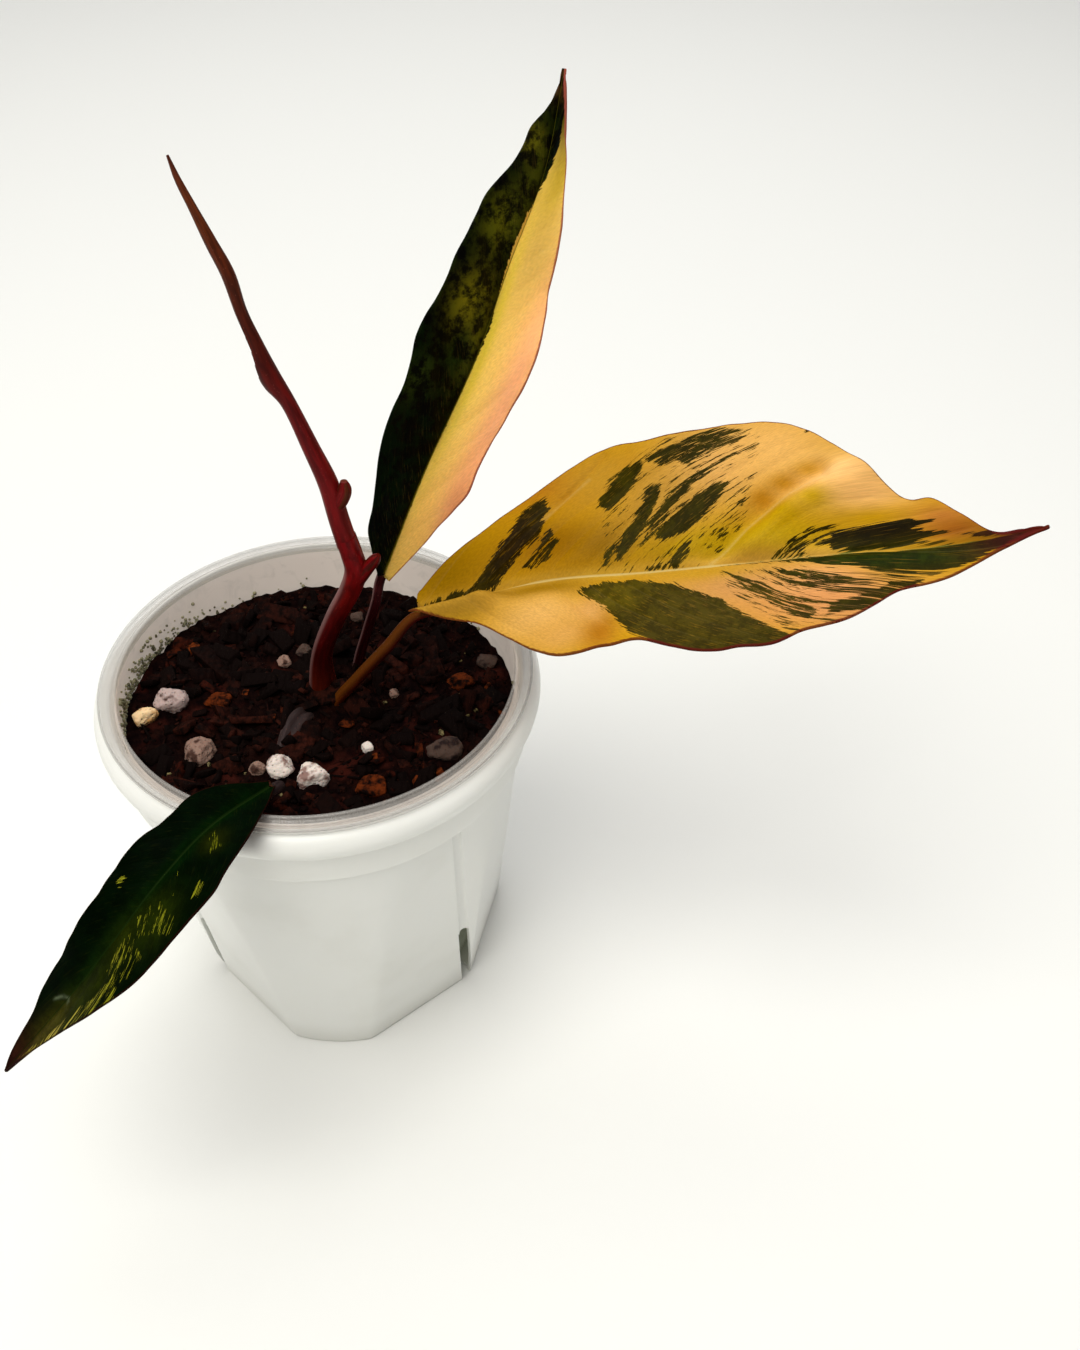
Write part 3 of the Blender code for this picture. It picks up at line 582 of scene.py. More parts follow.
def dress(piece, slot, *nodes):
    """Puts a finished piece on the body and hides the CAD nodes that it stands for; the slot is not used."""
    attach(piece, BODY)
    if nodes:
        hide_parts(*nodes)


def apply_modifiers(piece, helpers=()):
    graph = bpy.context.evaluated_depsgraph_get()
    mesh = bpy.data.meshes.new_from_object(piece.evaluated_get(graph))
    piece.modifiers.clear()
    piece.data = mesh
    for helper in helpers:
        bpy.data.objects.remove(helper)


def boolean(piece, cutter, operation="DIFFERENCE"):
    modifier = piece.modifiers.new(cutter.name, "BOOLEAN")
    modifier.operation = operation
    modifier.solver = "EXACT"
    modifier.object = cutter


def store(mesh, name, values, kind="FLOAT_VECTOR"):
    """Writes one value, vector or colour for each point of a mesh."""
    attribute = mesh.attributes.new(name, kind, "POINT")
    field = {"FLOAT": "value", "FLOAT_VECTOR": "vector", "FLOAT_COLOR": "color"}[kind]
    attribute.data.foreach_set(field, np.asarray(values, np.float32).ravel())


# Materials


def white_polypropylene(settings):
    # Injection-moulded polypropylene: a soft sheen, light that leaks through its thin wall, a fine grain,
    # handling dust, and a tone that darkens over the lowest 12 mm
    material, tree = new_material(
        "white polypropylene, moulded", IOR=1.49, Subsurface_Weight=0.35, Subsurface_Scale=0.0015,
        Subsurface_Radius=(1.0, 0.97, 0.92),
    )
    place = node(tree, "TexCoord", output="Object")
    cloud = node(tree, "TexNoise", {"Vector": place, "Scale": 28.0, "Detail": 5.0})
    height = node(tree, "SeparateXYZ", (place,), "Z")
    tone = overlay(tree, (*settings.white, 1.0), cloud, 0.5, 0.75, 0.12, "#B9B6A6")
    # Darker over the lowest 12 mm, towards the foot
    tone = overlay(tree, tone, height, 0.012, 0.0, 0.25, "#A9A595")
    fine = node(tree, "TexNoise", {"Vector": place, "Scale": 900.0, "Detail": 2.0})
    rough = node(tree, "MapRange", (cloud, 0.3, 0.7, 0.3, 0.44), **SMOOTH)
    return surface(material, tone, (fine, 0.18, 0.0001), rough)


def clear_polystyrene(name, colour, alpha, roughness, painted_glow, painted_ring_shade=0.0):
    # Thin thermoformed sheet: clear to milky, with scuffs, and a faint emission that is a painted glow,
    # standing in for light leaking through the white wall round it. On the flange, rings 0.6 mm apart are
    # painted in as painted shade lines, with a darker painted shade line under its outer edge
    material, tree = new_material(
        name, IOR=1.58, Alpha=alpha, Coat_Weight=0.5, Coat_Roughness=0.08, Emission_Strength=painted_glow,
        Emission_Color=rgba(colour),
    )
    place = node(tree, "TexCoord", output="Object")
    scuffs = node(tree, "TexNoise", {"Vector": place, "Scale": 160.0, "Detail": 6.0, "Distortion": 1.2})
    tone = overlay(tree, rgba(colour), scuffs, 0.5, 0.8, 0.4, "#A8A49A")
    if painted_ring_shade:
        # Painted shade: dark rings 0.6 mm apart, standing in for the shading of fine moulded ridges
        level = node(tree, "VectorMath", (place, (1.0, 1.0, 0.0)), operation="MULTIPLY")
        reach = node(tree, "VectorMath", (level,), "Value", operation="LENGTH")
        turns = node(tree, "Math", (reach, math.tau / (RING_SPACING * MM)), operation="MULTIPLY")
        rings = node(tree, "Math", (turns,), operation="SINE")
        tone = overlay(tree, tone, rings, 0.2, 1.0, painted_ring_shade, "#77756F")
        # Painted shade: a darker line under the flange's outer edge, where its lip curls down
        beyond = node(tree, "Math", (reach, (FLANGE_RADIUS - 0.35) * MM), operation="SUBTRACT")
        from_shade_line = node(tree, "Math", (beyond,), operation="ABSOLUTE")
        tone = overlay(tree, tone, from_shade_line, 0.35 * MM, 0.1 * MM, 0.8, "#5E5C56")
    rough = node(tree, "MapRange", (scuffs, 0.35, 0.7, roughness, roughness + 0.25), **SMOOTH)
    return surface(material, tone, (scuffs, 0.15, 0.0003), rough)


def damp_bark_mix():
    # Composted bark and peat, watered: near black, with rusty fibres, and hardly any shine
    material, tree = new_material("composted bark mix, damp", IOR=1.4, Specular_IOR_Level=0.03)
    place = node(tree, "TexCoord", output="Object")
    lumpy = node(tree, "TexNoise", {"Vector": place, "Scale": 260.0, "Detail": 6.0, "Roughness": 0.7})
    patches = node(tree, "TexNoise", {"Vector": place, "Scale": 70.0, "Detail": 4.0})
    tone = overlay(tree, rgba("#080202"), lumpy, 0.4, 0.7, 1.0, "#1A0804")
    tone = overlay(tree, tone, patches, 0.54, 0.7, 1.0, "#30100A")
    rough = node(tree, "MapRange", (lumpy, 0.3, 0.7, 0.95, 0.55), **SMOOTH)
    return surface(material, tone, (lumpy, 0.8, 0.0012), rough)


def pine_bark(name, dark, light):
    # Broken pine bark: flaky, fibrous layers from black-brown to rust, each chip in a tone of its own
    material, tree = new_material(name, IOR=1.4, Roughness=0.8, Specular_IOR_Level=0.05)
    place = node(tree, "TexCoord", output="Object")
    tone = node(tree, "Attribute", output="Fac", attribute_name="tone")
    flakes = node(tree, "TexNoise", {"Vector": place, "Scale": 420.0, "Detail": 5.0, "Roughness": 0.65})
    waves = {"Vector": place, "Scale": 190.0, "Distortion": 6.0, "Detail": 3.0}
    layered = node(tree, "TexWave", waves, "Fac")
    base = node(tree, "Mix", {0: tone, 6: rgba(dark), 7: rgba(light)}, 2, data_type="RGBA")
    worn = overlay(tree, rgba("#090302"), flakes, 0.36, 0.62, 1.0, base)
    height = node(tree, "Math", (layered, 0.4, flakes), operation="MULTIPLY_ADD")
    return surface(material, worn, (height, 0.7, 0.0006))


def perlite(name, colour, stain):
    # Puffed volcanic glass: chalky white foam with open pores, stained by peat where it is wet, and painted
    # shade darkening the pores
    material, tree = new_material(
        name, IOR=1.5, Roughness=0.92, Specular_IOR_Level=0.15, Subsurface_Weight=0.1,
        Subsurface_Scale=0.0008,
    )
    place = node(tree, "TexCoord", output="Object")
    blotch = node(tree, "TexNoise", {"Vector": place, "Scale": 300.0, "Detail": 5.0})
    pores = node(tree, "TexVoronoi", {"Vector": place, "Scale": 900.0})
    tone = overlay(tree, rgba(colour), blotch, 0.47, 0.62, 1.0, stain)
    # Painted shade: each pore is darkened towards its middle, where the bump sinks it
    tone = overlay(tree, tone, pores, 0.26, 0.06, 0.6, "#3A2420")
    walls = node(tree, "MapRange", (pores, 0.0, 0.35), **SMOOTH)
    height = node(tree, "Math", (blotch, 0.8, walls), operation="MULTIPLY_ADD")
    return surface(material, tone, (height, 0.6, 0.0004))


def limb_skin(name, gloss, roughness, top=None):
    # Stem skin with a thin waxy cuticle: fine lengthwise ribs, small raised specks, and a side of its own
    # colour where the limb faces up, or else a painted highlight, a greyish sheen, along its left side
    material, tree = new_material(
        name, IOR=1.45, Roughness=roughness, Specular_IOR_Level=gloss, Subsurface_Weight=0.02,
        Subsurface_Scale=0.001,
    )
    tint = node(tree, "Attribute", output="Color", attribute_name="tint")
    grain = node(tree, "Attribute", output="Vector", attribute_name="grain")
    upper = node(tree, "Attribute", output="Fac", attribute_name="upper")
    streaks = node(tree, "TexNoise", {"Vector": grain, "Scale": 1.4, "Detail": 4.0})
    place = node(tree, "TexCoord", output="Object")
    specks = node(tree, "TexVoronoi", {"Vector": place, "Scale": 900.0})
    shade = node(tree, "MapRange", (streaks, 0.32, 0.68, 0.65, 1.35), **SMOOTH)
    tone = node(tree, "VectorMath", {0: tint, "Scale": shade}, operation="SCALE")
    if top:
        share = node(tree, "Math", (upper, 0.7), operation="MULTIPLY")
        tone = node(tree, "Mix", {0: share, 6: tone, 7: rgba(top)}, 2, data_type="RGBA")
    else:
        # Painted highlight: a greyish sheen along the left side, where the light falls on the limb
        left = node(tree, "SeparateXYZ", (grain,))
        tone = overlay(tree, tone, left, -1.0, -1.5, 0.5, "#8E6A66")
    tone = overlay(tree, tone, specks, 0.16, 0.06, 0.22, "#A05848")
    return surface(material, tone, (streaks, 0.35, 0.0003))


def streak_noise(tree, flow, per_mm, fineness, detail):
    """Noise drawn out along the side veins, from its grains per mm across and along them."""
    place = node(tree, "VectorMath", (flow, (*per_mm, 0.0)), operation="MULTIPLY")
    return node(tree, "TexNoise", {"Vector": place, "Scale": fineness, "Detail": detail, "Roughness": 0.6})


def leaf_skin(name, looks, underside=False):
    # Philodendron leaf: leathery, with a thin waxy cuticle, side veins that lean towards the tip, and
    # chimeric variegation whose green breaks into streaks along those veins
    material, tree = new_material(
        name, IOR=1.45, Specular_IOR_Level=looks["gloss"], Subsurface_Weight=looks["glow"],
        Subsurface_Scale=0.001, Subsurface_Radius=(1.0, 0.6, 0.2),
    )
    raggedness, fleckiness, fineness = looks["grain"]
    ground = node(tree, "Attribute", output="Color", attribute_name="ground")
    marking = node(tree, "Attribute", output="Color", attribute_name="marking")
    marks = node(tree, "Attribute", output="Vector", attribute_name="marks")
    flow = node(tree, "Attribute", output="Vector", attribute_name="flow")
    field, edge, rib_place = node(tree, "SeparateXYZ", (marks,)).node.outputs
    vein = node(tree, "SeparateXYZ", (flow,), "Z")

    # The green's ragged edge, its finer flecks, the even stipple of the cells, and soft blotches
    ragged = streak_noise(tree, flow, (0.5, 0.13), fineness, 6.0)
    flecks = streak_noise(tree, flow, (1.8, 0.4), fineness, 3.0)
    stipple = streak_noise(tree, flow, (2.4, 1.6), 1.0, 3.0)
    place = node(tree, "TexCoord", output="Object")
    blotch = node(tree, "TexNoise", {"Vector": place, "Scale": 240.0, "Detail": 6.0, "Roughness": 0.72})

    # Paler threads show through the green, and the ground is a little uneven
    uneven = node(tree, "MapRange", (stipple, 0.3, 0.7, *looks["uneven"]), **SMOOTH)
    ground = node(tree, "VectorMath", {0: ground, "Scale": uneven}, operation="SCALE")
    mottled = node(tree, "MapRange", (blotch, 0.42, 0.6, *looks["mottled"]), **SMOOTH)
    marking = node(tree, "VectorMath", {0: marking, "Scale": mottled}, operation="SCALE")
    marking = overlay(tree, marking, flecks, 0.55, 0.68, looks["threads"], ground)
    field = drifted(tree, drifted(tree, field, ragged, raggedness), flecks, fleckiness)
    tone = overlay(tree, ground, field, -0.16, 0.16, 1.0, marking)

    # Side veins, the midrib and the worn, coloured edge
    tone = overlay(tree, tone, vein, 0.45, 0.1, 0.03, looks["rib"])
    tone = overlay(tree, tone, rib_place, 1.15, 0.55, 0.75, looks["rib"])
    tone = overlay(tree, tone, drifted(tree, edge, stipple, 1.6), 1.3, 0.5, 0.85, looks["edge"])
    if underside:
        tone = node(tree, "Mix", {0: 0.35, 6: tone, 7: rgba("#6A3A2C")}, 2, data_type="RGBA")
    rough = node(tree, "MapRange", (ragged, 0.35, 0.65, 0.4, 0.52), **SMOOTH)
    height = node(tree, "Math", (flecks, 0.5, stipple), operation="MULTIPLY_ADD")
    return surface(material, tone, (height, 0.22, 0.00025), rough)


def matt_floor(settings):
    # Painted board: even and pale, rough enough to show only soft contact shadows
    material, tree = new_material("painted board, matt", Roughness=0.75)
    place = node(tree, "TexCoord", output="Object")
    cloud = node(tree, "TexNoise", {"Vector": place, "Scale": 9.0, "Detail": 3.0})
    share = node(tree, "Math", (cloud, 0.1), operation="MULTIPLY")
    colours = {0: share, 6: (*settings.floor, 1.0), 7: rgba("#EFEFEA")}
    return surface(material, node(tree, "Mix", colours, 2, data_type="RGBA"))


# Pots


def cone(height):
    """The radius of the body's round cone at a height, before its flats are pressed in."""
    return FOOT_RADIUS + (BODY_TOP_RADIUS - FOOT_RADIUS) * height / BODY_HEIGHT


def flat_limit(angle, height):
    """The distance from the axis to the nearest flat, in this direction and at this height."""
    distance = FLAT_AT_FOOT + (FLAT_AT_TOP - FLAT_AT_FOOT) * height / BODY_HEIGHT
    nearest = math.inf
    for lobe in range(3):
        for side in (-1, 1):
            flat = math.radians(POT_TURN - 90 + 120 * lobe + side * FLAT_FROM_LOBE)
            facing = math.cos(angle - flat)
            if facing > 0.5:
                nearest = min(nearest, distance / facing)
    return nearest


def press_flats(mesh_data):
    """Presses the six flats into the body, with softly rounded ridges between them."""
    for vert in mesh_data.verts:
        radius = math.hypot(vert.co.x, vert.co.y)
        if vert.co.z > BODY_HEIGHT or radius < 1:
            continue
        within = max(cone(vert.co.z) - radius, 0)
        limit = flat_limit(math.atan2(vert.co.y, vert.co.x), vert.co.z) - within
        if limit - radius < 10 * FLAT_SOFTNESS:
            pressed = math.exp(-radius / FLAT_SOFTNESS + limit / FLAT_SOFTNESS) + 1
            factor = (limit - FLAT_SOFTNESS * math.log(pressed)) / radius
            vert.co.x *= factor
            vert.co.y *= factor


def slit_frame(corner, mirror):
    """Places a slit on the flat beside its corner, with +X out of the flat and +Z up the slit."""
    flat = POT_TURN + corner - 90 - mirror * (60 - FLAT_FROM_LOBE)
    foot_off = 60 - FLAT_FROM_LOBE - SLIT_FROM_CORNER
    top_off = foot_off - SLIT_LEAN
    ends = []
    for distance, off, height in ((FLAT_AT_FOOT, foot_off, 0), (FLAT_AT_TOP, top_off, BODY_HEIGHT)):
        angle = math.radians(flat + mirror * off)
        reach = distance / math.cos(math.radians(off))
        ends.append(Vector((reach * math.cos(angle), reach * math.sin(angle), height)))
    up = (ends[1] - ends[0]).normalized()
    outward = Vector((math.cos(math.radians(flat)), math.sin(math.radians(flat)), 0))
    outward = (outward - up * outward.dot(up)).normalized()
    return Matrix.Translation(ends[0]) @ Matrix((outward, up.cross(outward), up)).transposed().to_4x4()


def slit_cutters():
    """Three boxes that cut right through the wall, joined in one cutter."""
    mesh_data = bmesh.new()
    size = Matrix.Diagonal((12, SLIT_WIDTH, SLIT_TOP + 3, 1))
    middle = Matrix.Translation((0, 0, (SLIT_TOP - 3) / 2))
    for corner in SLIT_CORNERS:
        bmesh.ops.create_cube(mesh_data, size=1.0, matrix=slit_frame(*corner) @ middle @ size)
    return new_piece("slits", mesh_data)


def groove_cutters():
    """Three round bars that press a shallow groove above each slit, joined in one cutter."""
    mesh_data = bmesh.new()
    bottom, top = SLIT_TOP - 2, BODY_HEIGHT - 1
    middle = Matrix.Translation((GROOVE_RADIUS - GROOVE_DEPTH, 0, (bottom + top) / 2))
    size = {"radius1": GROOVE_RADIUS, "radius2": GROOVE_RADIUS, "depth": top - bottom}
    for corner in SLIT_CORNERS:
        place = slit_frame(*corner) @ middle
        bmesh.ops.create_cone(mesh_data, cap_ends=True, segments=32, matrix=place, **size)
    return new_piece("grooves", mesh_data)


def outer_pot_mesh():
    """The moulded shell: foot, tapered wall, step, collar, rolled rim and the wall's inside."""
    steps = 40
    heights = [FOOT_ROUND + (BODY_HEIGHT - FOOT_ROUND) * i / steps for i in range(steps + 1)]
    inner = COLLAR_RADIUS - POT_WALL
    inside = [height for height in reversed(heights) if height > POT_FLOOR + 1]
    return turned([
        (0, 0), (FOOT_RADIUS - FOOT_ROUND, 0),
        *arc(FOOT_RADIUS - FOOT_ROUND, FOOT_ROUND, FOOT_ROUND, -60, -15, 3),
        *((cone(height), height) for height in heights),
        *arc(COLLAR_RADIUS - 0.5, BODY_HEIGHT + 0.8, 0.5, -80, 0, 4),
        (COLLAR_RADIUS + 0.15, 93), (COLLAR_RADIUS + 0.3, COLLAR_TOP - 1.2),
        (COLLAR_RADIUS, COLLAR_TOP - 0.7), (COLLAR_RADIUS - 0.4, COLLAR_TOP + 0.3),
        *arc(RIM_RADIUS - RIM_ROLL, RIM_TOP - RIM_ROLL, RIM_ROLL, -78, 90, 22),
        *arc(inner + 0.9, RIM_TOP - 0.7, 0.7, 90, 180, 4),
        (inner, 100), (inner, BODY_HEIGHT + 2),
        *((cone(height) - POT_WALL, height) for height in inside),
        *arc(cone(POT_FLOOR) - POT_WALL - 1, POT_FLOOR + 1, 1.0, 0, -90, 3),
        (0, POT_FLOOR),
    ], sides=288)


class PLANT_OT_outer_pot(Operator):
    """Builds the white slit pot"""

    bl_idname = "plant.outer_pot"
    bl_label = "Outer pot"

    def execute(self, context):
        mesh_data = outer_pot_mesh()
        press_flats(mesh_data)
        pot = new_piece("outer_pot_shell", mesh_data, white_polypropylene(context.scene.plant_pot))
        slits, grooves = slit_cutters(), groove_cutters()
        boolean(pot, slits)
        boolean(pot, grooves)
        apply_modifiers(pot, (slits, grooves))
        pot.data.shade_smooth()
        pot.data.set_sharp_from_angle(angle=math.radians(32))
        dress(pot, "white_plastic", "outer_pot")
        return {"FINISHED"}


def liner_mesh():
    """The clear shell with its collar, and a flange with moulded rings that ends in a small lip."""
    floor_top = LINER_FLOOR + 0.8
    collar, flange = LINER_COLLAR_RADIUS, FLANGE_RADIUS
    inner = collar - LINER_WALL
    seat = RIM_TOP + 0.25
    rings = []
    for number in range(MOULDED_RINGS):
        radius = collar + RINGS_FROM_COLLAR + number * RING_PITCH
        rings.append((radius, FLANGE_TOP - 0.62))
        rings.append((radius + 0.14, FLANGE_TOP - 0.88))
        rings.append((radius + 0.3, FLANGE_TOP - 0.6))
    return turned([
        (0, LINER_FLOOR), (LINER_FOOT_RADIUS - 1.5, LINER_FLOOR),
        *arc(LINER_FOOT_RADIUS - 1.5, LINER_FLOOR + 1.5, 1.5, -75, -5, 4),
        (LINER_BODY_RADIUS, LINER_STEP), *arc(collar - 1, LINER_STEP + 2.4, 1.0, -45, 0, 3),
        (collar, RIM_TOP - 1.2), (collar + 0.3, RIM_TOP - 0.1), (collar + 0.9, seat),
        (flange - 0.5, seat), *arc(flange - 0.45, FLANGE_TOP - 0.45, 0.45, -50, 130, 8),
        *reversed(rings), (collar + 0.8, FLANGE_TOP - 0.4),
        *arc(collar - 0.4, FLANGE_TOP + 0.05, 0.65, 0, 200, 10),
        (inner - 0.3, FLANGE_TOP - 0.7), (inner, RIM_TOP - 0.4), (inner, LINER_STEP + 2.6),
        (LINER_BODY_RADIUS - LINER_WALL, LINER_STEP + 0.2),
        (LINER_FOOT_RADIUS - LINER_WALL, LINER_FLOOR + 1.8), (LINER_FOOT_RADIUS - 2, floor_top),
        (0, floor_top),
    ], sides=256)


class PLANT_OT_liner(Operator):
    """Builds the clear liner pot"""

    bl_idname = "plant.liner"
    bl_label = "Liner pot"

    def execute(self, context):
        # The collar and lower wall glow faintly: painted light that brightens the pot's shaded inside
        sheet = clear_polystyrene("clear polystyrene, collar, painted glow", "#F0E6DC", 0.7, 0.3, 0.2)
        flange = clear_polystyrene("clear polystyrene, flange", "#D2CDC6", 0.3, 0.12, 0.0, painted_ring_shade=0.3)
        milky = clear_polystyrene("clear polystyrene, scuffed lower wall, painted glow", "#A8AC98", 0.6, 0.3, 0.15)
        liner = new_piece("liner_shell", liner_mesh(), sheet, flange, milky, sharp=28)
        for face in liner.data.polygons:
            if face.center.z > (RIM_TOP - 2.5) * MM:
                face.material_index = 1
            elif face.center.z < LINER_STEP * MM:
                face.material_index = 2
        drains = bmesh.new()
        size = {"radius1": DRAIN_RADIUS, "radius2": DRAIN_RADIUS, "depth": 6.0}
        for angle, reach in DRAINS:
            place = Matrix.Translation((reach * math.cos(angle), reach * math.sin(angle), LINER_FLOOR))
            bmesh.ops.create_cone(drains, cap_ends=True, segments=24, matrix=place, **size)
        drains = new_piece("drains", drains)
        boolean(liner, drains)
        apply_modifiers(liner, (drains,))
        dress(liner, "clear_plastic", "liner_pot")
        return {"FINISHED"}


# Soil and what lies on it


def soil_height(x, y):
    """The uneven, slightly sloping top of the bark mix, as in the frame."""
    hills = noise.noise(Vector((x, y, 3.0)) / 13.0) + 0.6 * noise.noise(Vector((x, y, 9.0)) / 5.0)
    return SOIL_LEVEL + SOIL_SLOPE[0] * x + SOIL_SLOPE[1] * y + SOIL_RELIEF * hills


def crumbly(x, y):
    """Fine unevenness on top of the soil's hills."""
    place = Vector((x, y, 0))
    return 1.1 * noise.noise(place / 2.6) + 0.6 * noise.noise(place / 1.1) + 0.25 * noise.noise(place / 0.55)


def shards(count, seed, sizes, lift, width=(0.4, 0.75), tilt=0.45, bevel=0.0, hearts=()):
    """Jittered boxes strewn clear of the lumps, over the soil or in heaps, with a random tone for each."""
    draw = random.Random(seed)
    mesh_data = bmesh.new()
    tone_layer = mesh_data.verts.layers.float.new("tone")
    for number in range(count):
        long = draw.triangular(*sizes)
        angle, reach = draw.uniform(0, math.tau), (SOIL_RADIUS - 1.0 - long / 2) * math.sqrt(draw.random())
        x, y = reach * math.cos(angle), reach * math.sin(angle)
        if hearts:
            heart_x, heart_y, heap = hearts[number % len(hearts)]
            x, y = draw.gauss(heart_x, heap), draw.gauss(heart_y, heap)
            inward = min((SOIL_RADIUS - 1.5 - long / 2) / math.hypot(x, y), 1.0)
            x, y = x * inward, y * inward
        clear = SHARD_CLEARANCE * long
        if any(math.hypot(x - lump[0], y - lump[1]) < lump[2] + clear for lump in LUMPS.values()):
            continue
        thick = long * width[0] * draw.uniform(0.5, 0.9)
        size = Vector((long, long * draw.uniform(*width), thick))
        heading = Matrix.Rotation(draw.uniform(0, math.tau), 4, "Z")
        tip = Matrix.Rotation(draw.gauss(0, tilt), 4, "Y") @ Matrix.Rotation(draw.gauss(0, 0.4), 4, "X")
        place = Matrix.Translation((x, y, soil_height(x, y) + lift * thick))
        verts = bmesh.ops.create_cube(mesh_data, size=1.0)["verts"]
        tone = draw.random() ** 3
        for vert in verts:
            vert.co = vert.co * size * draw.uniform(0.65, 1.15)
            vert[tone_layer] = tone
        bmesh.ops.transform(mesh_data, matrix=place @ heading @ tip, verts=verts)
    if bevel:
        rounding = {"offset": bevel, "segments": 1, "profile": 0.5, "affect": "EDGES", "material": -1}
        bmesh.ops.bevel(mesh_data, geom=list(mesh_data.edges), **rounding)
    return mesh_data


def clinging_grit(count, seed):
    """Grains that cling to the liner's wall just above the soil, most of them on the left."""
    draw = random.Random(seed)
    mesh_data = bmesh.new()
    tone_layer = mesh_data.verts.layers.float.new("tone")
    for number in range(count):
        angle = math.radians(draw.gauss(174, 18)) if number % 8 else draw.uniform(0, math.tau)
        radius = draw.triangular(0.2, 0.75, 0.35)
        reach = LINER_COLLAR_RADIUS - LINER_WALL - 0.4 * radius
        x, y = reach * math.cos(angle), reach * math.sin(angle)
        rise = min(draw.expovariate(0.5), 7.0)
        place = Matrix.Translation((x, y, soil_height(x, y) + rise))
        verts = bmesh.ops.create_icosphere(mesh_data, subdivisions=1, radius=radius, matrix=place)["verts"]
        tone = draw.random()
        for vert in verts:
            vert[tone_layer] = tone
    return mesh_data


class PLANT_OT_soil(Operator):
    """Builds the bark mix and its strewn chips"""

    bl_idname = "plant.soil"
    bl_label = "Bark mix"

    def execute(self, context):
        settings = context.scene.plant_soil
        rings = 90
        top = [(SOIL_RADIUS * (1 - i / rings), SOIL_LEVEL) for i in range(rings + 1)]
        soil = turned([
            (0, LINER_FLOOR + 1.3), (LINER_FOOT_RADIUS - 1.6, LINER_FLOOR + 1.3),
            (LINER_BODY_RADIUS - 1.3, LINER_STEP), (SOIL_RADIUS, LINER_STEP + 3), *top,
        ], sides=220)
        for vert in soil.verts:
            if vert.co.z > SOIL_LEVEL - 1:
                vert.co.z = soil_height(vert.co.x, vert.co.y) + crumbly(vert.co.x, vert.co.y)
        dress(new_piece("bark_mix", soil, damp_bark_mix(), sharp=60), "bark_mix", "soil")
        bark = pine_bark("pine bark, broken", "#080302", "#30120A")
        rusty = pine_bark("pine bark, rusty", "#2E0D05", "#6E300E")
        grit = pine_bark("grit, olive", "#6A5E3A", "#B4A678")
        strewn = {
            "bark_chips": (bark, shards(settings.chips, 5, (2.2, 11.0, 4.2), 0.25, bevel=0.25)),
            "bark_flakes": (bark, shards(46, 3, (8, 16, 10), 0.3, (0.3, 0.6), 0.18, 0.3)),
            "bark_fibres": (bark, shards(150, 14, (5, 13, 7), 0.6, (0.05, 0.09), 0.25)),
            "bark_crumbs": (bark, shards(settings.crumbs, 8, (0.5, 2.0, 1.0), 0.6)),
            "rusty_chips": (rusty, shards(26, 21, (1.6, 5.0, 2.6), 0.4, bevel=0.2)),
            "rusty_heaps": (rusty, shards(48, 22, (1.8, 6.5, 3.4), 0.35, bevel=0.2, hearts=RUSTY_HEAPS)),
            "tan_grit": (grit, shards(46, 30, (0.5, 1.7, 0.9), 0.7, (0.7, 0.95))),
            "wall_grit": (perlite("crushed grit, grey-green", "#8E8A6C", "#5E5A44"), clinging_grit(420, 11)),
        }
        for name, (finish, mesh_data) in strewn.items():
            dress(new_piece(name, mesh_data, finish, sharp=50), "bark_chip")
        return {"FINISHED"}


def facets(name, seed):
    """The flat breaks of a lump: a direction and a distance for each, in shares of its radius."""
    if name in BROKEN_FACES:
        return vectors(BROKEN_FACES[name])
    draw = random.Random(seed)
    directions = [Vector([draw.gauss(0, 1) for _ in range(3)]).normalized() for _ in range(BREAKS)]
    return [direction * draw.uniform(*BREAK_DEPTHS) for direction in directions]


def broken_lump(name, radius, stretch, number):
    """A ball broken along flat faces, with blunt edges and open pores."""
    mesh_data = bmesh.new()
    bmesh.ops.create_icosphere(mesh_data, subdivisions=5, radius=1.0)
    breaks = facets(name, 40 + number)
    offset = Vector((number * 3.1, number * 1.7, number * 2.3))
    for vert in mesh_data.verts:
        direction = vert.co.normalized()
        limits = [face.length_squared / max(direction.dot(face), 0.05) for face in breaks] + [1.1]
        reach = sum(limit ** -LUMP_CRISPNESS for limit in limits) ** (-1 / LUMP_CRISPNESS)
        pitted = 0.07 * noise.noise(direction * 3 + offset) + 0.05 * noise.noise(direction * 9 + offset)
        vert.co = direction * stretch * (radius * (reach + pitted))
    return mesh_data


class PLANT_OT_lumps(Operator):
    """Builds the perlite and the loose bark on the soil"""

    bl_idname = "plant.lumps"
    bl_label = "Perlite and loose bark"

    def execute(self, context):
        finishes = {
            "white": perlite("perlite, clean", "#D8CCC2", "#846860"),
            "rose": perlite("perlite, stained rose", "#AC9892", "#54403A"),
            "brown": perlite("perlite, stained brown", "#84695C", "#3C261E"),
            "cream": perlite("perlite, stained cream", "#E2C294", "#B88A54"),
            "grey": perlite("perlite, stained grey", "#483830", "#201412"),
            "bark": pine_bark("pine bark, loose chip", "#3C1406", "#6C2E0C"),
        }
        for number, (name, (x, y, radius, rise, finish)) in enumerate(LUMPS.items()):
            bark = finish == "bark"
            stretch = Vector(BARK_STRETCH if bark else PERLITE_STRETCH)
            mesh_data = broken_lump(name, radius, stretch, number)
            place = Vector((x, y, soil_height(x, y) + rise))
            bmesh.ops.translate(mesh_data, verts=mesh_data.verts, vec=place)
            piece = new_piece(f"{name}_lump", mesh_data, finishes[finish], sharp=80)
            store(piece.data, "tone", np.full(len(piece.data.vertices), 0.5), "FLOAT")
            dress(piece, "bark_chip" if bark else "perlite", name)
        return {"FINISHED"}


# Stems


def limb_length(route):
    points = [smooth_along(route, i / 60) for i in range(61)]
    return sum((second - first).length for first, second in zip(points, points[1:]))


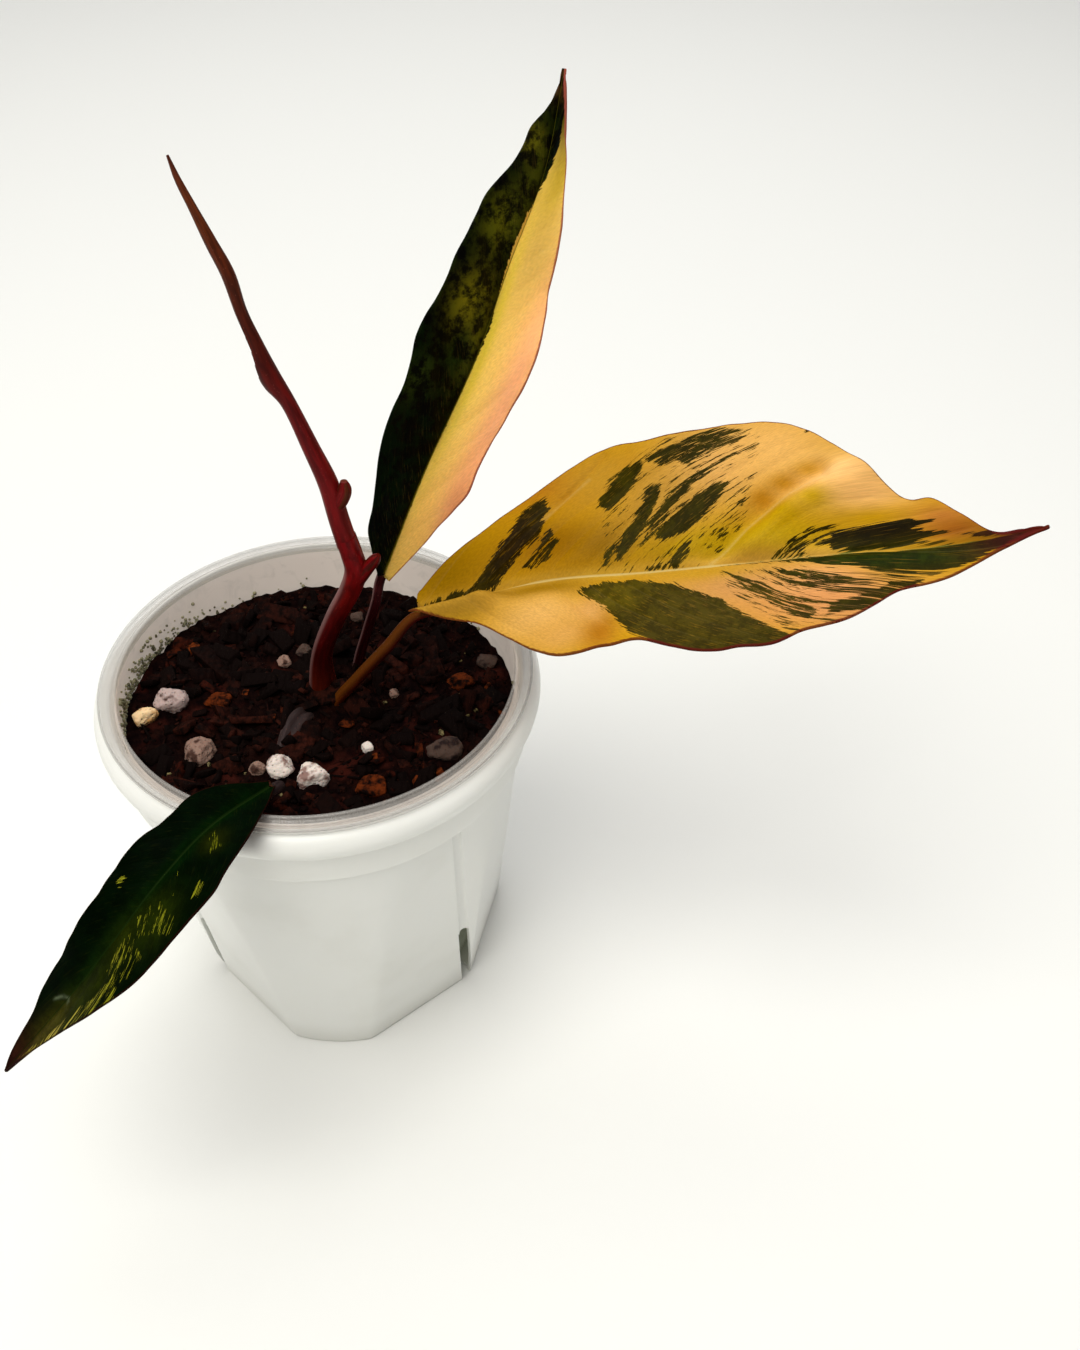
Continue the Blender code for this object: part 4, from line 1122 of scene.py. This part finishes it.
def tube(route, radii, tints, rings, sides, up, section=None):
    """A closed limb along a smooth route, with its tint, grain and upper side as values for the material."""
    mesh_data = bmesh.new()
    bmesh.ops.create_grid(mesh_data, x_segments=rings, y_segments=sides, size=1.0)
    grain_layer = mesh_data.verts.layers.float_vector.new("grain")
    upper_layer = mesh_data.verts.layers.float.new("upper")
    tint_layer = mesh_data.verts.layers.float_color.new("tint")
    route, up = vectors(route), Vector(up)
    tints = [Vector(rgba(tint)) for tint in tints]
    length = limb_length(route)
    frames = {}
    for vert in mesh_data.verts:
        t, turn = (vert.co.x + 1) / 2, math.pi * (vert.co.y + 1)
        if round(t, 5) not in frames:
            along = (smooth_along(route, t + 0.01) - smooth_along(route, t - 0.01)).normalized()
            side = along.cross(up).normalized()
            frames[round(t, 5)] = smooth_along(route, t), side, side.cross(along), smooth_along(radii, t)
        middle, side, out, radius = frames[round(t, 5)]
        radius *= section(t, turn) if section else 1.0
        across, upward = math.cos(turn), math.sin(turn)
        vert[grain_layer] = Vector((GRAIN_ROUND * across, GRAIN_ROUND * upward, GRAIN_PER_MM * t * length))
        vert[upper_layer] = max(upward, 0.0)
        vert[tint_layer] = smooth_along(tints, t)
        vert.co = middle + (side * across + out * upward) * radius
    bmesh.ops.remove_doubles(mesh_data, verts=mesh_data.verts, dist=0.005)
    bmesh.ops.holes_fill(mesh_data, edges=mesh_data.edges, sides=0)
    bmesh.ops.recalc_face_normals(mesh_data, faces=mesh_data.faces)
    return mesh_data


def join_limb(piece, name, *shape):
    """Fuses a short side limb into a piece, and tints the seam like the skin beside it."""
    side = new_piece(name, tube(*shape))
    boolean(piece, side, "UNION")
    apply_modifiers(piece, (side,))
    mesh = piece.data
    mesh.set_sharp_from_angle(angle=math.radians(50))
    tints = np.empty(len(mesh.vertices) * 4, np.float32)
    mesh.attributes["tint"].data.foreach_get("color", tints)
    tints = tints.reshape(-1, 4)
    bare = (tints[:, 2] > 0.5) | (tints[:, 3] < 0.5)
    for _ in range(3):
        for a, b in mesh.edge_keys:
            if bare[a] != bare[b]:
                new, old = (a, b) if bare[a] else (b, a)
                tints[new] = tints[old]
                bare[new] = False
    mesh.attributes["tint"].data.foreach_set("color", tints.ravel())


def rolled(t, turn):
    """The section of the rolled blade: a lip that overlaps the roll and winds slowly round it."""
    around = (turn / math.tau + 0.35 + 0.55 * t) % 1.0
    swell = min(max((t - 0.3) / 0.12, 0.0), 1.0)
    return 1.0 + swell * (0.2 * around ** 6 - 0.07)


class PLANT_OT_shoot(Operator):
    """Builds the stem and the rolled new leaf"""

    bl_idname = "plant.shoot"
    bl_label = "Stem and new leaf"

    def execute(self, context):
        skin = limb_skin("philodendron stem, burgundy", 0.1, 0.42)
        shape = STEM_ROUTE, STEM_RADII, STEM_TINTS, 90, 40, (0, -1, 0)
        stem = new_piece("stem_skin", tube(*shape), skin, sharp=60)
        join_limb(stem, "stub", STUB_ROUTE, STUB_RADII, STUB_TINTS, 20, 24, (0, -1, 0))
        dress(stem, "stem_red", "stem")
        blade = limb_skin("philodendron leaf, still rolled", 0.12, 0.45)
        shape = NEW_LEAF_ROUTE, NEW_LEAF_RADII, NEW_LEAF_TINTS, 160, 56, (0, -1, 0), rolled
        leaf = new_piece("new_leaf_roll", tube(*shape), blade, sharp=60)
        join_limb(leaf, "bud", BUD_ROUTE, BUD_RADII, BUD_TINTS, 16, 24, (0, -1, 0))
        dress(leaf, "stem_red", "new_leaf")
        return {"FINISHED"}


# Leaves


def distance_to_line(points, x, y):
    """The distance from each place to an open line through points, on the blade's plane."""
    nearest = np.full(x.shape, np.inf)
    for (x0, y0), (x1, y1) in zip(points, points[1:]):
        dx, dy = x1 - x0, y1 - y0
        share = np.clip(((x - x0) * dx + (y - y0) * dy) / (dx * dx + dy * dy), 0, 1)
        nearest = np.minimum(nearest, np.hypot(x - x0 - share * dx, y - y0 - share * dy))
    return nearest


def depth_inside(points, x, y):
    """How far each place lies inside an outline, minus outside."""
    ring = [*points, points[0]]
    inside = np.zeros(x.shape, bool)
    for (x0, y0), (x1, y1) in zip(ring, ring[1:]):
        crosses = (y0 > y) != (y1 > y)
        reach = x0 + (x1 - x0) * (y - y0) / np.where(y1 == y0, 1e-9, y1 - y0)
        inside ^= crosses & (x < reach)
    return distance_to_line(ring, x, y) * np.where(inside, 1, -1)


def marked_field(looks, x, y):
    """How deep each place lies in the green: over 0 is green, and near 0 breaks into streaks."""
    field = np.full(x.shape, -6.0)
    for level, points in looks["patches"]:
        field = np.maximum(field, np.minimum(2.4 * depth_inside(points, x, y), level))
    for level, points in looks["gaps"]:
        field = np.minimum(field, np.maximum(level + 1 - 2 * depth_inside(points, x, y), level))
    return field


def tinted(colour, tints, x, y, lines):
    """A colour at each place, with its tints laid over it one by one, then thin lines and painted glints."""
    colours = np.tile(linear(colour), (len(x), 1))
    for tint, middle_x, middle_y, reach_x, reach_y in tints:
        share = np.exp(-((x - middle_x) / reach_x) ** 2 - ((y - middle_y) / reach_y) ** 2)[:, None]
        colours += (np.array(linear(tint)) - colours) * share
    for tint, most, reach, line in lines:
        share = most * np.exp(-(distance_to_line(line, x, y) / reach) ** 2)[:, None]
        colours += (np.array(linear(tint)) - colours) * share
    return np.column_stack([colours, np.ones(len(x))])


def vein_coordinate(leaf, x, y):
    """Where a place's side vein leaves the midrib: veins lean to the tip, and past the bend run along it."""
    across = np.abs(y)
    at_base, per_mm, at_edge = leaf["lean"]
    past = np.maximum(x - leaf["bend"], 0)
    turning = np.minimum(past, VEIN_TURN)
    along = x - (1 - VEIN_PACE) * (turning ** 2 / (2 * VEIN_TURN) + past - turning)
    near = at_base + per_mm * np.minimum(x, leaf["bend"])
    return along - across * (near + at_edge * (across / max(leaf["left"])) ** 2)


def half_width(leaf, half, x, t):
    """A half's width, which rounds off to nothing over its ear, behind the blade's base."""
    if t >= 0:
        return smooth_along(leaf[("left", "right")[half]], t)
    return leaf[("left", "right")[half]][0] * math.sqrt(max(1 - (x / leaf["ears"][half]) ** 2, 0.0004))


def blade_stations(leaf, count, length):
    """The place, axes, folds, half widths and waves at even steps along a blade, from ears to tip."""
    midrib, face = vectors(leaf["midrib"]), vectors(leaf["face"])
    height, waves, *phases = leaf["wave"]
    back = max(leaf["ears"])
    stations = []
    for i in range(count + 1):
        x = (length + back) * i / count - back
        t = x / length
        along = smooth_along(midrib, t + 0.01) - smooth_along(midrib, t - 0.01)
        side = along.cross(smooth_along(face, t)).normalized()
        out = side.cross(along).normalized()
        middle = smooth_along(midrib, t) + along.normalized() * min(x, 0)
        folds = [math.radians(smooth_along([pair[half] for pair in leaf["fold"]], t)) for half in (0, 1)]
        widths = [half_width(leaf, half, x, t) for half in (0, 1)]
        swell = height * math.sqrt(math.sin(math.pi * max(t, 0)))
        lifts = [swell * math.sin(math.tau * (waves * t + phase)) for phase in phases]
        stations.append((x, middle, side, out, folds, widths, lifts))
    return stations


def relief(leaf, x, y, reach):
    """The blade's relief in mm: a sunk midrib and side veins, soft swells between them, and its folds."""
    place = vein_coordinate(leaf, x, y) / VEIN_SPACING
    from_vein = np.abs(place - np.round(place)) * VEIN_SPACING
    inner = leaf["swell"] * np.clip(np.abs(y) / 4, 0, 1) * np.clip((1 - reach) * 3, 0, 1)
    sunk = 0.4 * np.exp(-(from_vein / VEIN_REACH) ** 2)
    height = inner * (np.sin(np.pi * from_vein / VEIN_SPACING) - sunk)
    height -= MIDRIB_SINK * np.exp(-(y / MIDRIB_REACH) ** 2)
    from_rib = 1 - np.exp(-(y / FOLD_FREE_REACH) ** 2)
    for rise, width, line in leaf["folds"]:
        height += rise * from_rib * np.exp(-(distance_to_line(line, x, y) / width) ** 2)
    return height, from_vein


def blade(name, leaf, looks, lengths, widths, materials):
    """A blade with its relief, its thickness, and the values that its material reads."""
    mesh_data = bmesh.new()
    bmesh.ops.create_grid(mesh_data, x_segments=lengths, y_segments=widths, size=1.0)
    length = limb_length(vectors(leaf["midrib"]))
    stations = blade_stations(leaf, lengths, length)
    steps = [(round((vert.co.x + 1) / 2 * lengths), vert.co.y) for vert in mesh_data.verts]
    x = np.array([stations[step][0] for step, _ in steps])
    half = np.array([stations[step][5][1 if s > 0 else 0] for step, s in steps])
    y = np.array([s for _, s in steps]) * half
    height, from_vein = relief(leaf, x, y, np.abs(y) / half)
    for vert, (step, s), rise, across in zip(mesh_data.verts, steps, height, y):
        place, middle, side, out, folds, _, lifts = stations[step]
        right = 1 if s > 0 else 0
        reach = side * across * math.cos(folds[right]) + out * abs(across) * math.sin(folds[right])
        ruffle = 0.35 * s ** 6 * noise.noise(Vector((place / 5, right * 9, 0)))
        vert.co = middle + reach + out * (lifts[right] * s * s + float(rise) + ruffle)
    bmesh.ops.reverse_faces(mesh_data, faces=mesh_data.faces)
    piece = new_piece(name, mesh_data, *materials, sharp=80)

    tip = np.clip((x / length - 1) / TIP_SHARE + 1, 0, 1)
    left_margin, right_margin, tip_margin = looks["margins"]
    margin = np.where(y > 0, right_margin, left_margin) + tip_margin * tip ** 2
    edge = np.where(margin > 0.01, (half - np.abs(y)) / np.maximum(margin, 0.01), 9)
    rib_place = np.abs(y) / (RIB_HALF_WIDTH - RIB_NARROWING * x / length)
    if "ribbed" in looks:
        first, last = looks["ribbed"]
        rib_place += 1.2 * np.clip((first - x) / 9, 0, 1) + 0.8 * np.clip((x - last) / 14, 0, 1)
    store(piece.data, "marks", np.column_stack([marked_field(looks, x, y), edge, rib_place]))
    store(piece.data, "flow", np.column_stack([vein_coordinate(leaf, x, y), y, from_vein]))
    for layer, tints in (("ground", "tints"), ("marking", "shades")):
        colours = tinted(looks[layer], looks[tints], x, y, looks["lines"].get(layer, ()))
        store(piece.data, layer, colours, "FLOAT_COLOR")
    thicken = piece.modifiers.new("thickness", "SOLIDIFY")
    thicken.thickness = BLADE_THICKNESS * MM
    thicken.offset = 0.0
    thicken.material_offset = 1
    return piece


class PLANT_OT_leaves(Operator):
    """Builds the three open leaves"""

    bl_idname = "plant.leaves"
    bl_label = "Open leaves"

    def execute(self, context):
        shapes = {
            "wide": (WIDE_LEAF, WIDE_LOOKS, 280, 120),
            "upright": (UPRIGHT_LEAF, UPRIGHT_LOOKS, 220, 72),
            "low": (LOW_LEAF, LOW_LOOKS, 200, 64),
        }
        for name, (leaf, looks, lengths, widths) in shapes.items():
            upper = leaf_skin(f"philodendron leaf, {name}, upper side", looks)
            lower = leaf_skin(f"philodendron leaf, {name}, underside", looks, underside=True)
            piece = blade(f"{name}_blade", leaf, looks, lengths, widths, (upper, lower))
            dress(piece, "leaf_yellow" if name == "wide" else "leaf_dark", f"{name}_leaf")
        return {"FINISHED"}


def grooved(t, turn):
    """The section of a petiole: round below, with a shallow channel along its upper side."""
    return 1.0 - 0.22 * max(math.sin(turn), 0.0) ** 8


def winged(t, turn):
    """The section of the low petiole: at the soil two thin wings stand beside a deep channel."""
    wings = max(1.0 - t / 0.35, 0.0)
    upper = max(math.sin(turn), 0.0)
    return 1.0 + wings * (0.25 * abs(math.cos(turn)) ** 3 - 0.5 * upper ** 3) - 0.2 * upper ** 8


class PLANT_OT_petioles(Operator):
    """Builds the petioles, which run on as the ribs under the blades"""

    bl_idname = "plant.petioles"
    bl_label = "Petioles and midribs"

    def execute(self, context):
        shapes = {
            "wide": (WIDE_LEAF, ["#5A2006", "#3A0A04", "#4A1206", "#6A3C10", "#8A6A2A"], "#5E3406", grooved),
            "upright": (UPRIGHT_LEAF, ["#220304", "#2E0406", "#200604", "#1A1004"], None, grooved),
            "low": (LOW_LEAF, ["#2A1E1C", "#4A3C3A", "#2E2220", "#101A06", "#0A1404"], "#140A0A", winged),
        }
        for name, (leaf, tints, top, section) in shapes.items():
            midrib = vectors(leaf["midrib"])
            route, radii = vectors(PETIOLES[name][0]), list(PETIOLES[name][1])
            for t in RIB_STATIONS:
                at = max(t, 0.0)
                along = (smooth_along(midrib, at + 0.01) - smooth_along(midrib, at - 0.01)).normalized()
                out = along.cross(Vector(leaf["face"][0])).cross(along).normalized()
                radius = RIB_RADIUS - RIB_TAPER * at
                under = radius + RIB_DEPTH * (1 if t > 0.1 else 2)
                route.append(smooth_along(midrib, at) + along * (t - at) * RIB_LEAD - out * under)
                radii.append(radius)
            skin = limb_skin(f"philodendron petiole, {name}", 0.08, 0.5, top)
            shape = route, radii, tints, 150, 28, leaf["face"][0], section
            petiole = new_piece(f"{name}_petiole_rib", tube(*shape), skin, sharp=70)
            dress(petiole, "stem_red", f"{name}_petiole")
        return {"FINISHED"}


# Stage


def add_light(name, place, target, size, power, colour):
    light = bpy.data.lights.new(name, "AREA")
    light.shape = "DISK"
    light.size = size
    light.energy = power
    light.color = linear(colour)
    lamp = bpy.data.objects.new(name, light)
    lamp.location = place
    lamp.rotation_euler = (Vector(target) - Vector(place)).to_track_quat("-Z", "Y").to_euler()
    bpy.context.scene.collection.objects.link(lamp)


class PLANT_OT_stage(Operator):
    """Builds the floor, the lights and the photograph's camera"""

    bl_idname = "plant.stage"
    bl_label = "Floor, light and camera"

    def execute(self, context):
        settings = context.scene.plant_stage
        floor = bmesh.new()
        bmesh.ops.create_grid(floor, x_segments=8, y_segments=8, size=settings.floor_reach / MM)
        bmesh.ops.translate(floor, verts=floor.verts, vec=(0, 0, -0.02))
        new_piece("floor", floor, matt_floor(settings))

        middle = (0.03, 0.0, 0.1)
        add_light("window", (-0.35, -0.55, 1.5), middle, 1.2, settings.key, "#FFFCF6")
        add_light("room", (0.25, 0.1, 1.6), middle, 1.4, settings.fill, "#FFFEFC")
        add_light("back", (0.0, 0.9, 1.3), middle, 1.4, settings.back, "#FFFFFF")
        world = bpy.data.worlds.new("studio")
        world.use_nodes = True
        backdrop = world.node_tree.nodes["Background"]
        backdrop.inputs["Color"].default_value = rgba("#F4F2F5")
        backdrop.inputs["Strength"].default_value = settings.ambient
        context.scene.world = world

        camera = bpy.data.cameras.new("camera")
        camera.sensor_fit = "HORIZONTAL"
        camera.sensor_width = 36.0
        camera.lens = FOCAL_PIXELS * camera.sensor_width / FRAME_WIDE
        camera.clip_start = 0.01
        holder = bpy.data.objects.new("camera", camera)
        tilt = Matrix.Rotation(math.radians(CAMERA_TILT), 4, "X")
        roll = Matrix.Rotation(math.radians(CAMERA_ROLL), 4, "Z")
        holder.matrix_world = Matrix.Translation(Vector(CAMERA_PLACE) * MM) @ tilt @ roll
        context.scene.collection.objects.link(holder)
        context.scene.camera = holder
        context.scene.view_settings.view_transform = "Standard"
        return {"FINISHED"}


class PlantPotSettings(PropertyGroup):
    white: FloatVectorProperty(
        name="White", description="Colour of the outer pot", subtype="COLOR", default=linear("#F2F3ED"),
    )


class PlantSoilSettings(PropertyGroup):
    chips: IntProperty(name="Chips", description="How many chips of bark are strewn", default=480, min=0)
    crumbs: IntProperty(name="Crumbs", description="How many crumbs lie between them", default=1500, min=0)


class PlantStageSettings(PropertyGroup):
    floor: FloatVectorProperty(
        name="Floor", description="Colour of the floor", subtype="COLOR", default=linear("#EEEFEB"),
    )
    floor_reach: FloatProperty(
        name="Floor reach", description="From the floor's middle to its edge", unit="LENGTH", default=4.0,
    )
    key: FloatProperty(
        name="Window", description="Power of the light from the front", unit="POWER", default=19.5,
    )
    fill: FloatProperty(
        name="Room", description="Power of the light from the right", unit="POWER", default=6.5,
    )
    back: FloatProperty(
        name="Back", description="Power of the light from behind", unit="POWER", default=8.0,
    )
    ambient: FloatProperty(name="Ambient", description="Strength of the even light all round", default=0.24)


OPERATORS = (
    PLANT_OT_outer_pot, PLANT_OT_liner, PLANT_OT_soil, PLANT_OT_lumps, PLANT_OT_shoot, PLANT_OT_leaves,
    PLANT_OT_petioles, PLANT_OT_stage,
)


class PLANT_PT_sidebar(Panel):
    bl_idname = "PLANT_PT_sidebar"
    bl_label = "Potted philodendron"
    bl_space_type = "VIEW_3D"
    bl_region_type = "UI"
    bl_category = "Plant"

    def draw(self, context):
        scene = context.scene
        for group in (scene.plant_pot, scene.plant_soil, scene.plant_stage):
            box = self.layout.box()
            for name in group.__annotations__:
                box.prop(group, name)
        for operator in OPERATORS:
            self.layout.operator(operator.bl_idname)


GROUPS = {"plant_pot": PlantPotSettings, "plant_soil": PlantSoilSettings, "plant_stage": PlantStageSettings}


def register():
    for name, group in GROUPS.items():
        bpy.utils.register_class(group)
        setattr(bpy.types.Scene, name, PointerProperty(type=group))
    for operator in OPERATORS:
        bpy.utils.register_class(operator)
    bpy.utils.register_class(PLANT_PT_sidebar)


def unregister():
    bpy.utils.unregister_class(PLANT_PT_sidebar)
    for operator in reversed(OPERATORS):
        bpy.utils.unregister_class(operator)
    for name, group in reversed(GROUPS.items()):
        delattr(bpy.types.Scene, name)
        bpy.utils.unregister_class(group)


def main():
    register()
    for name in ("stage", "outer_pot", "liner", "soil", "lumps", "shoot", "leaves", "petioles"):
        getattr(bpy.ops.plant, name)()


if __name__ == "__main__":
    main()
